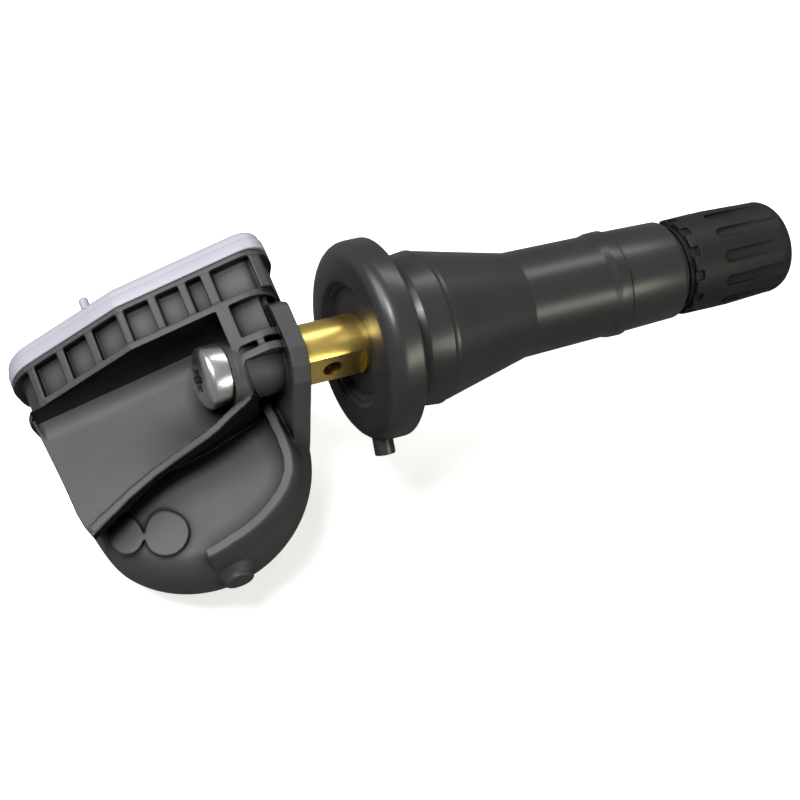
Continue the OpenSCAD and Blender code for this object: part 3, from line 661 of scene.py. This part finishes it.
class SENSOR_OT_case(bpy.types.Operator):
    """Builds the moulded case with its rounded edges, rolled floor and step rim"""

    bl_idname = "tyre_sensor.case"
    bl_label = "Moulded case"

    def execute(self, context):
        sizes, looks = context.scene.sensor_case, context.scene.sensor_looks
        bm = bmesh.new()
        bm.from_mesh(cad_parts["sensor_housing"].data)
        bmesh.ops.remove_doubles(bm, verts=bm.verts, dist=1e-7)
        bm.transform(CASE_TURN.inverted())
        shell = solid("case_shell", bm)
        carve(shell, self.roll_cutter(sizes.floor_flat / MM))
        bm = bmesh.new()
        bm.from_mesh(shell.data)
        for extra in (self.strip_flank(), self.step_rim(sizes), *self.pads(sizes), self.end_boss()):
            into(bm, extra)
        bm.to_mesh(shell.data)
        bm.free()
        even_out(shell, sizes.grain, 2, 0.45)
        co = points_of(shell)
        self.shape_face(co)
        self.shape_step(co)
        self.shape_dome(co)
        self.shape_band(co)
        set_points(shell, co)
        thin_out(shell, CASE_TRIANGLES)
        shell.data.transform(CASE_TURN)
        shell.data.shade_smooth()
        black, coarse = looks.case, 7000.0
        plastic = moulded(
            "Housing plastic", black, dim(black, 0.86), looks.case_gloss, 0.16, coarse, 4e-6, corners=2.2, reach=0.002
        )
        dress(shell, plastic, "root", "case_plastic", "sensor_housing")
        for made in (
            # painted light: the bay floors get a lighter copy of the case plastic, which is also a little smoother
            moulded("Smoother bay plastic with painted light", dim(black, 1.25), black, 0.5, 0.12, coarse, 2e-6, corners=1.4),
            # painted shade: a near-black copy of the case plastic, with little reflection, for the walls below the
            # step's edge and under the flange
            moulded("Painted shade housing plastic", dim(black, 0.12), dim(black, 0.1), 0.7, 0.1, coarse, 4e-6, shine=0.1),
        ):
            shell.data.materials.append(made)
        shell.data.polygons.foreach_set("material_index", self.areas(shell.data))
        return {"FINISHED"}

    @staticmethod
    def areas(mesh):
        """For each face 1 on the floor of a bay, which is smoother and painted lighter as painted light, 2 on the walls
        below the step's edge and under the flange, painted near-black as painted shade, and otherwise 0.
        """
        middle, facing = np.empty(len(mesh.polygons) * 3), np.empty(len(mesh.polygons) * 3)
        mesh.polygons.foreach_get("center", middle)
        mesh.polygons.foreach_get("normal", facing)
        back = np.array(CASE_TURN.inverted().to_3x3())
        x, y, z = back @ middle.reshape(-1, 3).T / MM
        _, front, up = back @ facing.reshape(-1, 3).T
        deep = CASE_TOP - KINK_DROP / (KINK_X - CASE_LEFT) * np.maximum(KINK_X - x, 0) - z
        # floors of the bays, which get the painted light
        bays = (deep > BAY_DEPTH[0]) & (deep < BAY_DEPTH[1]) & (up > 0.85) & (y > 5.9) & (y < 9.4) & (x < -7.6)
        line, top = edge_lines(x)
        # walls below the step's edge and under the flange, which get the painted shade
        step = (front < -0.35) & (up < 0.8) & (np.abs(y - line) < 2.0) & (z > FLOOR_Z - 0.1) & (z < top) & (x < -12.6)
        under = (front < -0.5) & (y > 4.2) & (y < 5.6) & (z > TROUGH_Z) & (z < CASE_TOP) & (x < -11)
        return np.select([bays, step | under], [1, 2], 0).astype(np.int32)

    @staticmethod
    def roll_cutter(flat):
        """What is cut away so that the recess floor rolls over into the dome, between the step and the strip's end."""

        def profile(angle):
            fade = float(ease(max((angle + 166) / 14, 0.12)))
            inner = BELLY_R - (BELLY_R - flat) * fade
            drop = (FLOOR_Z - BELLY_Z) * fade
            points = []
            for i in range(13):
                t = math.radians(90 * i / 12)
                points.append((inner + (BELLY_R - inner) * math.sin(t), FLOOR_Z - drop + drop * math.cos(t)))
            points[0] = (inner, FLOOR_Z + 0.001)
            return points + [(BELLY_R + 1, FLOOR_Z - drop), (BELLY_R + 1, FLOOR_Z + 1.2), (inner, FLOOR_Z + 1.2)]

        return around_dome(profile, -166, -95.2, 48)

    @staticmethod
    def strip_flank():
        """The dome's outer side carried up to the top of the raised strip, as one smooth slope."""
        inner = DOME_TOP_R - 0.4
        slope = [(DOME_TOP_R - 0.2, STRIP_Z), (DOME_TOP_R - 0.03, STRIP_Z - 0.12), (DOME_TOP_R + 0.15, STRIP_Z - 0.6)]
        slope += [(DOME_TOP_R + 0.33, FLOOR_Z), (DOME_TOP_R + 0.52, FLOOR_Z - 0.8), (DOME_TOP_R + 0.6, FLOOR_Z - 1.4)]
        outline = [(inner, STRIP_Z), *slope, (inner, FLOOR_Z - 1.4)]
        return around_dome(lambda angle: outline, -94.6, 16, 64)

    @staticmethod
    def step_rim(sizes):
        """The flat rim along the step's edge, a little proud of the upper face."""
        wide, rise = sizes.rim_width / MM, sizes.rim_rise / MM
        rings = []
        for i in range(61):
            x = STEP_RIGHT[0] + 0.5 + (STEP_LEFT[0] - STEP_RIGHT[0] - 0.5) * i / 60
            edge, beyond = step_edge(x), step_edge(x - 0.05)
            along = (beyond - edge).normalized()
            side = Vector((along.y, -along.x, 0)).normalized()
            if side.y < 0:
                side = -side
            top, low = edge + Vector((0, 0, rise)), edge - Vector((0, 0, 0.6))
            rings.append([low, low + side * wide, top + side * wide, top])
        return ring_mesh(rings)

    @staticmethod
    def pads(sizes):
        """The two round pads on the recess floor."""
        top = FLOOR_Z + sizes.pad_rise / MM
        made = []
        for across, along, radius in ((0.696, 0.468, 1.57), (0.353, 0.588, 2.12)):
            x, y = DOME_X - across * DOME_TOP_R, DOME_Y - along * DOME_TOP_R
            made.append(rod((x, y, FLOOR_Z - 1.05), (x, y, top), radius, 96))
        return made

    @staticmethod
    def end_boss():
        """The stub on the dome's tip, with a flared neck and a ring on its face."""
        x, z, y = DOME_X + 0.6, -2.2, DOME_Y - BELLY_R
        neck = [(2.5, 1.1), (1.95, 0.4), (1.62, 0.05), (1.46, -0.2), (1.42, -0.52), (1.34, -0.6), (1.05, -0.6)]
        neck += [(1.0, -0.52), (0.9, -0.52), (0.85, -0.58)]
        circle = [(math.cos(a), math.sin(a)) for a in turns(64)]
        return ring_mesh([[(x + r * c, y + rise, z + r * s) for c, s in circle] for r, rise in neck])

    @staticmethod
    def shape_dome(co):
        """Draws the dome in beside the step's end, and leads the raised strip wide of its circle."""
        dx, dy, z = co[:, 0] - DOME_X, co[:, 1] - DOME_Y, co[:, 2]
        r = np.maximum(np.hypot(dx, dy), 1e-9)
        angle = np.degrees(np.arctan2(dy, dx))
        turn = np.where(angle > 60, angle - 360, angle)
        outer = np.clip((r - 9.6) / 1.2, 0, 1) * np.clip((FLOOR_Z + 0.3 - z) / 1.0, 0, 1)
        move = -0.45 * ease(1 - np.abs(turn + 168) / 26) * outer
        lead = np.interp(turn, *zip(*STRIP_LEAD), left=0.0, right=0.0)
        near = ease((r - 8.0) / 1.4) * ease((11.7 - r) / 1.2) * ease((z + 1.5) / 2.5)
        grow = 1 + (move + lead * near) / r
        co[:, 0] = DOME_X + dx * grow
        co[:, 1] = DOME_Y + dy * grow

    @staticmethod
    def shape_step(co):
        """Draws the step's edge out over a wall that falls back below it."""
        x, y, z = co[:, 0], co[:, 1], co[:, 2]
        line, top = edge_lines(x)
        out, back = np.interp(x, *zip(*LIP_REACH)), np.interp(x, *zip(*WALL_SETBACK))
        height = np.clip((z - FLOOR_Z) / np.maximum(top - FLOOR_Z, 1), 0, 1)
        off = y - line
        upper = ease(height * 1.6 - 0.3)
        lower = ease((z - FLOOR_Z + 0.55) / 0.4) * (1 - upper)
        face = np.where(off > 0, ease(1 - off / 6.5), ease(1 + off / 1.2))
        foot = np.where(off > 0, ease(1 - off / 1.0), ease(1 + off / 3.2))
        there = ease((-12.2 - x) / 0.4) * ease((z - FLOOR_Z + 0.55) / 0.4)
        co[:, 1] = y + (out * upper * face + back * lower * foot) * there

    @staticmethod
    def shape_face(co):
        """Lays the flat facets of the upper face onto its smooth form, with a cove up to the flange above it."""
        x, y, z = co[:, 0], co[:, 1], co[:, 2]
        rough_z, there = upper_face(x, y, 8, 2.5)
        smooth_z, _ = upper_face(x, y, 5, 2.0)
        on_face = np.where(np.abs(z - rough_z) < 0.4, there, 0)
        z = z + (smooth_z - z) * on_face
        cove = smooth_z + 1.7 * np.clip(1 - (BAND_LOW - y) / 3.4, 0, 1) ** 2
        low = (there > 0.5) & (z > rough_z - 0.45) & (z < cove)
        co[:, 2] = np.where(low, cove, z)

    @staticmethod
    def shape_band(co):
        """Lengthens the bays between the two flanges, whose lower one is a thin strip."""
        y = co[:, 1]
        co[:, 1] = y + np.interp(y, (3.0, 5.0, 5.55, 6.4, 9.2, 9.3, 9.6), (0, -0.2, -0.35, -0.5, 0.12, 0.1, 0))


class SENSOR_OT_lid(bpy.types.Operator):
    """Builds the pale lid with its rounded edge, shallow panel, air port and pip"""

    bl_idname = "tyre_sensor.lid"
    bl_label = "Lid"

    def execute(self, context):
        sizes, looks = context.scene.sensor_case, context.scene.sensor_looks
        edge, panel = sizes.lid_edge / MM, sizes.lid_panel / MM
        layers = [(LID_SEAT + 0.02, 0.14), (LID_SEAT + 0.06, 0.05), (LID_SEAT + 0.14, 0.0)]
        layers += [(LID_SEAT + 1.05, 0.0), (LID_SEAT + 1.12, 0.03), (LID_SEAT + 1.2, 0.14)]
        for i in range(9):
            a = math.radians(90 * i / 8)
            layers.append((LID_TOP - edge + edge * math.sin(a), 0.16 + edge * (1 - math.cos(a))))
        layers += [(LID_TOP, 2.0), (LID_TOP - 0.03, 2.12), (LID_TOP - panel, 2.2), (LID_TOP - panel, 3.0)]
        lid = solid("lid_shell", case_layers(layers, 14))
        carve(lid, case_layers([(LID_SEAT - 1, 1.9), (LID_SEAT + 1.3, 1.9)], 8))
        r, x, z = sizes.port_radius / MM, -16.0, CASE_MID
        carve(lid, rod((x, LID_SEAT, z), (x, LID_TOP + 1, z), r, 40))
        pip = rod((-24.4, LID_TOP - 0.3, CASE_TOP - 1.6), (-24.4, LID_TOP + 0.9, CASE_TOP - 1.6), 0.45, 32, 0.2)
        carve(lid, pip, "UNION")
        lid.data.transform(CASE_TURN)
        smooth_sides(lid, 28)
        plastic = moulded("Lid plastic", looks.lid, dim(looks.lid, 0.93), 0.38, 0.14, 6000.0, 3e-6, patches=180.0)
        dress(lid, plastic, "root", "lid_plastic", "housing_lid")
        return {"FINISHED"}


class SENSOR_OT_rubber(bpy.types.Operator):
    """Turns the rubber valve body with its flange, groove, ridge, cone, neck and stub"""

    bl_idname = "tyre_sensor.rubber"
    bl_label = "Rubber valve body"

    def execute(self, context):
        sizes, looks = context.scene.sensor_valve, context.scene.sensor_looks
        dent = sizes.crease / MM
        # points (x, radius, rounding): pocket, flange, groove, ridge, cone, neck and bore
        profile = [(-2.6, 2.92, 0.0), (-2.6, 5.3, 0.3), (-3.05, 5.6, 0.12), (-3.1, 5.85, 0.1), (-3.3, 5.95, 0.15)]
        profile += [(-3.5, 6.25, 0.3), (-3.5, 9.7, 2.2), (-0.15, 9.7, 0.4), (0.0, 9.35, 0.12), (0.0, 7.95, 0.1)]
        profile += [(-0.3, 7.65, 0.1), (-0.3, 6.45, 0.3), (0.6, 6.45, 0.25), (0.95, 7.0, 0.3), (1.7, 7.32, 0.6)]
        profile += [(4.05, 7.58, 0.12), (4.15, 7.56 - dent, 0.08), (4.4, 7.45 - dent * 0.6, 0.15), (4.7, 7.36, 0.4)]
        profile += [(14.0, 5.26, 1.2), (22.9, 5.12, 0.8), (23.7, 5.3, 0.6), (24.85, 5.33, 0.06), (24.87, 5.0, 0.04)]
        profile += [(24.97, 5.0, 0.04), (25.0, 5.12, 0.05), (31.5, 4.95, 0.4), (31.5, 4.3, 0.1), (32.1, 4.25, 0.1)]
        profile += [(32.1, 3.32, 0.0), (10.98, 3.32, 0.0), (9.98, 2.92, 0.0)]
        body = solid("rubber_body", turned(soften(profile), sizes.facets, closed=True))
        a = math.radians(STUB_TURN)
        middle, out = Vector((-1.95, 0, 0)), Vector((0, math.cos(a), math.sin(a)))
        reach = 9.7 + sizes.stub_reach / MM
        carve(body, rod(middle + out * 8.3, middle + out * reach, sizes.stub_radius / MM, 40, 0.12), "UNION")
        smooth_sides(body, 40)
        grey, rough = looks.rubber, looks.rubber_gloss
        rubber = moulded("Valve rubber", grey, dim(grey, 0.82), rough, 0.14, 5200.0, 3e-6, patches=140.0)
        dress(body, rubber, "root", "valve_rubber", "rubber_valve_body")
        return {"FINISHED"}


class SENSOR_OT_stem(bpy.types.Operator):
    """Turns the brass stem with its cap thread, flat and air hole"""

    bl_idname = "tyre_sensor.stem"
    bl_label = "Brass stem"

    def execute(self, context):
        sizes, looks = context.scene.sensor_valve, context.scene.sensor_looks
        pitch, depth = sizes.thread_pitch / MM, sizes.thread_depth / MM
        start, end, crest = 32.2, 41.5, 3.85

        def thread(x, angle, r):
            if not start - 0.01 <= x <= end + 0.35 or r < 3:
                return r
            p = ((x - start) / pitch - angle / (2 * math.pi)) % 1.0
            ridge = min(max((1 - abs(2 * p - 1) - 0.125) / 0.75, 0), 1)
            lead = min(max((x - start) / 0.5, 0), 1)
            top = min(crest, 3.35 + (42.0 - x))
            return min(top, crest - depth + depth * ridge * lead)

        outline = [(-10.3, 1.54), (-10.3, 2.75), (-10.15, 2.9), (10.0, 2.9), (11.0, 3.3), (31.9, 3.3), (32.15, 3.4)]
        outline += [(start + (end + 0.3 - start) * i / 220, crest) for i in range(221)]
        outline += [(42.0, 3.3), (42.0, 2.9), (41.8, 2.64), (36.0, 2.64), (34.6, 2.2), (30.0, 2.2), (30.0, 1.25)]
        outline += [(-6.6, 1.25), (-6.6, 1.54)]
        stem = solid("stem", turned(outline, 96, closed=True, reach=thread))
        turn = Matrix.Rotation(math.radians(FLAT_TURN), 4, "X")
        flat = 2.9 - sizes.flat_cut / MM
        hole = rod((-6.2, 0, 0), (-6.2, 5, 0), sizes.hole_radius / MM, 48)
        for tool in (brick((-9.1, flat, -5), (-3.0, 6, 5)), hole):
            tool.transform(turn)
            carve(stem, tool)
        smooth_sides(stem, 28)
        brass = machined("Turned brass", looks.brass, dim(looks.brass, 0.9), 0.34, 0.14, 9000.0, 3e-6, corners=0.9)
        dress(stem, brass, "root", "stem_brass", "valve_stem")
        paint(brass, "core_barrel", "core_pin", "core_cup")
        return {"FINISHED"}


class SENSOR_OT_screw(bpy.types.Operator):
    """Turns the pan-head screw and sinks its six-lobed drive"""

    bl_idname = "tyre_sensor.screw"
    bl_label = "Mounting screw"

    def execute(self, context):
        sizes, looks = context.scene.sensor_screw, context.scene.sensor_looks
        profile = [(-7.0, 0.0), (-7.0, 1.2), (-7.4, 1.5), (-16.2, 1.5), (-16.42, 1.7), (-16.42, 2.8), (-16.52, 2.92)]
        profile += [(-16.7, 2.95), (-18.05, 2.95), (-18.25, 2.9), (-18.45, 2.74), (-18.62, 2.45), (-18.74, 2.1)]
        profile += [(-18.82, 1.75), (-18.85, 1.6), (-18.85, 0.0)]
        screw = solid("screw", turned(profile, 128))
        mean, wave = sizes.lobe_radius / MM, sizes.lobe_wave / MM
        top, low = -19.5, -18.85 + sizes.drive_depth / MM
        rings = []
        for x, size in ((top, 1.0), (low, 0.97), (low + 0.25, 0.35), (low + 0.3, 0.05)):
            ring = [(a, (mean + wave * math.cos(6 * a)) * size) for a in turns(96)]
            rings.append([(x, r * math.cos(a), r * math.sin(a)) for a, r in ring])
        carve(screw, ring_mesh(rings))
        smooth_sides(screw, 30)
        steel = machined("Screw steel", looks.steel, dim(looks.steel, 0.93), 0.29, 0.12, 7000.0, 2e-6, corners=2.0)
        dress(screw, steel, "root", "screw_steel", "mounting_screw")
        return {"FINISHED"}


class SENSOR_OT_cap(bpy.types.Operator):
    """Builds the cap with its notches, rounded grip flutes and bore"""

    bl_idname = "tyre_sensor.cap"
    bl_label = "Valve cap"

    def execute(self, context):
        sizes, looks = context.scene.sensor_cap, context.scene.sensor_looks
        x0, x1, r = 32.62, 45.15, 4.95
        outer = [(x0, r - 0.25), (x0 + 0.15, r - 0.08), (x0 + 5.0, r), (x1 - 2.8, r - 0.2)]
        outer += [
            (x1 - 2.2 + 2.2 * math.sin(math.radians(a)), r - 2.4 + 2.2 * math.cos(math.radians(a)))
            for a in (6, 20, 34, 48, 60)
        ]
        outer += [(x1, r - 2.2), (x1, 0.0)]
        inner = [(43.06, 0.0), (43.06, 3.93), (32.2, 3.93), (32.2, 4.3), (x0, 4.3)]
        cap = solid("cap_shell", turned(inner + outer, 144))
        tool = bmesh.new()
        wide, deep = sizes.flute_width / MM / 2, sizes.flute_depth / MM
        notch, long = sizes.notch_width / MM / 2, sizes.notch_length / MM
        n = sizes.flutes
        for i in range(n):
            turn = Matrix.Rotation(2 * math.pi * (i + 0.5) / n, 4, "X")
            into(tool, brick((x0 - 1, -notch, r - 0.4), (x0 + long, notch, r + 1)), turn)
            ring = [(x1 + 1, -wide), (x1 + 1, wide)]
            ring += [
                (x0 + 3.5 + wide - wide * math.cos(math.radians(a)), wide * math.sin(math.radians(a)))
                for a in range(90, -91, -15)
            ]
            floor = r - deep
            flute = ring_mesh([[(x, y, floor) for x, y in ring], [(x, y, r + 1) for x, y in ring]])
            into(tool, flute, Matrix.Rotation(2 * math.pi * i / n, 4, "X"))
        carve(cap, tool)
        even_out(cap, sizes.grain, 3, 0.4)
        thin_out(cap, CAP_TRIANGLES)
        cap.data.shade_smooth()
        black = looks.cap
        plastic = moulded(
            "Cap plastic", black, dim(black, 0.8), 0.5, 0.14, 8000.0, 3e-6, patches=300.0, corners=1.6, shine=0.22
        )
        dress(cap, plastic, "cap", "cap_plastic", "valve_cap")
        return {"FINISHED"}


class SENSOR_OT_inner_parts(bpy.types.Operator):
    """Gives the board, cell, coil, seals and spring inside their finishes"""

    bl_idname = "tyre_sensor.inner_parts"
    bl_label = "Inner parts"

    def execute(self, context):
        looks = context.scene.sensor_looks
        bricks = {"Mortar Size": 0.06, "Brick Width": 0.9, "Row Height": 0.35}
        args = (bricks, (90, 0, 0), looks.board, (1, 2.2), 6000.0, 0.28, 0.00002, 0.0)
        paint(patterned("Solder mask", "ShaderNodeTexBrick", *args), "circuit_board")
        args = ({"Distortion": 0.0}, (0, 25, 0), (0.6, 0.26, 0.1), (0.35, 1), 9000.0, 0.3, 0.00008, 0.8)
        paint(patterned("Copper winding", "ShaderNodeTexWave", *args), "wake_coil_winding")
        nickel = machined("Nickel-plated steel", (0.62, 0.62, 0.6), (0.55, 0.55, 0.54), 0.28, 0.12, 5000.0, 2e-6)
        paint(nickel, "coin_cell", "crystal_can")
        strip = machined("Tinned strip", (0.66, 0.63, 0.55), (0.58, 0.55, 0.48), 0.32, 0.12, 5000.0, 2e-6)
        paint(strip, "battery_tab_positive", "battery_tab_negative", "transmit_antenna")
        spring = machined("Spring wire", (0.6, 0.6, 0.62), (0.5, 0.5, 0.52), 0.25, 0.1, 8000.0, 1e-6)
        coil = placed("core_coil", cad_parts["core_spring"].data.copy())
        coil.data.shade_smooth()
        dress(coil, spring, "root", "spring_steel", "core_spring")
        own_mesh(coil)
        for node, name, rgb, rough in (
            ("pressure_chip", "Package resin", (0.028, 0.028, 0.03), 0.5),
            ("port_gasket", "Red silicone", (0.45, 0.1, 0.06), 0.55),
            ("wake_coil_core", "Ferrite", (0.06, 0.06, 0.065), 0.6),
            ("chip_capacitors", "Fired ceramic", (0.42, 0.3, 0.19), 0.5),
            ("core_barrel_seal", "Sealing plastic", (0.55, 0.04, 0.03), 0.35),
            ("core_cup_seal", "Core rubber", (0.035, 0.035, 0.035), 0.6),
            ("cap_seal", "Cap rubber", (0.05, 0.05, 0.05), 0.6),
        ):
            paint(moulded(name, rgb, dim(rgb, 0.85), rough, 0.12, 6000.0, 3e-6), node)
        return {"FINISHED"}


class SENSOR_OT_stage(bpy.types.Operator):
    """Sets the floor, the soft lights, the surroundings and the camera"""

    bl_idname = "tyre_sensor.stage"
    bl_label = "Studio"

    def execute(self, context):
        studio = context.scene.sensor_studio
        low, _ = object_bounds()
        bm = bmesh.new()
        bmesh.ops.create_grid(bm, x_segments=24, y_segments=24, size=2.0)
        floor = solid("floor", bm)
        floor.location = (0, 0, low.z - 0.0002)
        floor.data.materials.append(self.floor_finish(tuple(studio.floor), studio.bounce))
        floor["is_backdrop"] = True
        camera = bpy.data.cameras.new("Camera")
        camera.lens, camera.sensor_width = 92.34, 36.0
        camera.clip_start, camera.clip_end = 0.01, 10
        seen = placed("Camera", camera)
        forward, up = Vector((0.383, 0.3904, -0.8372)).normalized(), Vector((0.2259, 0.8392, 0.4947))
        right = forward.cross(up).normalized()
        up = right.cross(forward)
        place = Vector((-0.07486, -0.08217, 0.16131))
        seen.matrix_world = Matrix.Translation(place) @ Matrix((right, up, -forward)).transposed().to_4x4()
        context.scene.camera = seen
        for name, watts, size, away, tint in (
            ("Key", studio.key, (0.26, 0.30), (-0.62, 0.36, 0.68), (1.0, 1.0, 1.0)),
            ("Fill", studio.fill, (0.12, 0.12), (-0.43, 0.0, 0.90), (1.0, 1.0, 1.0)),
            ("Top", studio.top, (0.26, 0.08), (0.383, 0.556, 0.738), (0.97, 0.98, 1.0)),
            ("Warm", studio.warm, (0.20, 0.11), (0.383, -0.774, 0.503), (1.0, 0.97, 0.78)),
        ):
            away = Vector(away).normalized() * LIGHT_DISTANCE
            light = bpy.data.lights.new(name, "AREA")
            light.shape, light.energy, light.color = "RECTANGLE", watts, tint
            light.size, light.size_y = size
            lamp = placed(name, light)
            lamp.location = AIM + away
            lamp.rotation_mode = "QUATERNION"
            lamp.rotation_quaternion = (-away).to_track_quat("-Z", "Y")
        self.surroundings(context.scene, studio.world)
        context.scene.view_settings.view_transform = "Standard"
        return {"FINISHED"}

    @staticmethod
    def floor_finish(rgb, bounce):
        """A pale floor that the camera sees as white, with the object's soft shadow."""
        made, tree, shader = finish_named("Pale floor")
        seen = tree.nodes.new("ShaderNodeLightPath").outputs["Is Camera Ray"]
        tint = blend_colours(tree, seen, dim(rgb, bounce), dim(rgb, 1))
        feed(tree, shader, Base_Color=tint, Roughness=0.9, Specular_IOR_Level=0.1)
        feed(tree, shader, Emission_Color=(1, 1, 1, 1), Emission_Strength=maths(tree, "MULTIPLY", seen, FLOOR_GLOW))
        return made

    @staticmethod
    def surroundings(scene, strength):
        """Pale surroundings that light softly, are brighter in reflections and white to the camera."""
        world = bpy.data.worlds.new("Surroundings")
        world.use_nodes = True
        tree = world.node_tree
        path = tree.nodes.new("ShaderNodeLightPath").outputs
        shine = maths(tree, "MULTIPLY_ADD", path["Is Glossy Ray"], strength, strength)
        level = maths(tree, "MAXIMUM", path["Is Camera Ray"], shine)
        feed(tree, tree.nodes["Background"], Color=(1, 1, 1, 1), Strength=level)
        scene.world = world


class SENSOR_PT_panel(bpy.types.Panel):
    """Lists the sensor's pieces and their sizes"""

    bl_idname = "SENSOR_PT_panel"
    bl_label = "Tyre pressure sensor"
    bl_space_type = "VIEW_3D"
    bl_region_type = "UI"
    bl_category = "Tyre sensor"

    def draw(self, context):
        for operator in OPERATORS:
            self.layout.operator(operator.bl_idname)
        for name in GROUPS_OF_SIZES:
            box = self.layout.box()
            values = getattr(context.scene, name)
            for key in values.bl_rna.properties.keys():
                if key not in ("rna_type", "name"):
                    box.prop(values, key)


OPERATORS = (
    SENSOR_OT_case,
    SENSOR_OT_lid,
    SENSOR_OT_rubber,
    SENSOR_OT_stem,
    SENSOR_OT_screw,
    SENSOR_OT_cap,
    SENSOR_OT_inner_parts,
    SENSOR_OT_stage,
)
GROUPS_OF_SIZES = {
    "sensor_case": CaseSizes,
    "sensor_valve": ValveSizes,
    "sensor_cap": CapSizes,
    "sensor_screw": ScrewSizes,
    "sensor_looks": Finishes,
    "sensor_studio": StudioSettings,
}


def register():
    for name, kind in GROUPS_OF_SIZES.items():
        bpy.utils.register_class(kind)
        setattr(bpy.types.Scene, name, PointerProperty(type=kind))
    for kind in (*OPERATORS, SENSOR_PT_panel):
        bpy.utils.register_class(kind)


def unregister():
    for kind in (SENSOR_PT_panel, *reversed(OPERATORS)):
        bpy.utils.unregister_class(kind)
    for name, kind in GROUPS_OF_SIZES.items():
        delattr(bpy.types.Scene, name)
        bpy.utils.unregister_class(kind)


def main():
    register()
    bpy.ops.tyre_sensor.case()
    bpy.ops.tyre_sensor.lid()
    bpy.ops.tyre_sensor.rubber()
    bpy.ops.tyre_sensor.stem()
    bpy.ops.tyre_sensor.screw()
    bpy.ops.tyre_sensor.cap()
    bpy.ops.tyre_sensor.inner_parts()
    bpy.ops.tyre_sensor.stage()


if __name__ == "__main__":
    main()
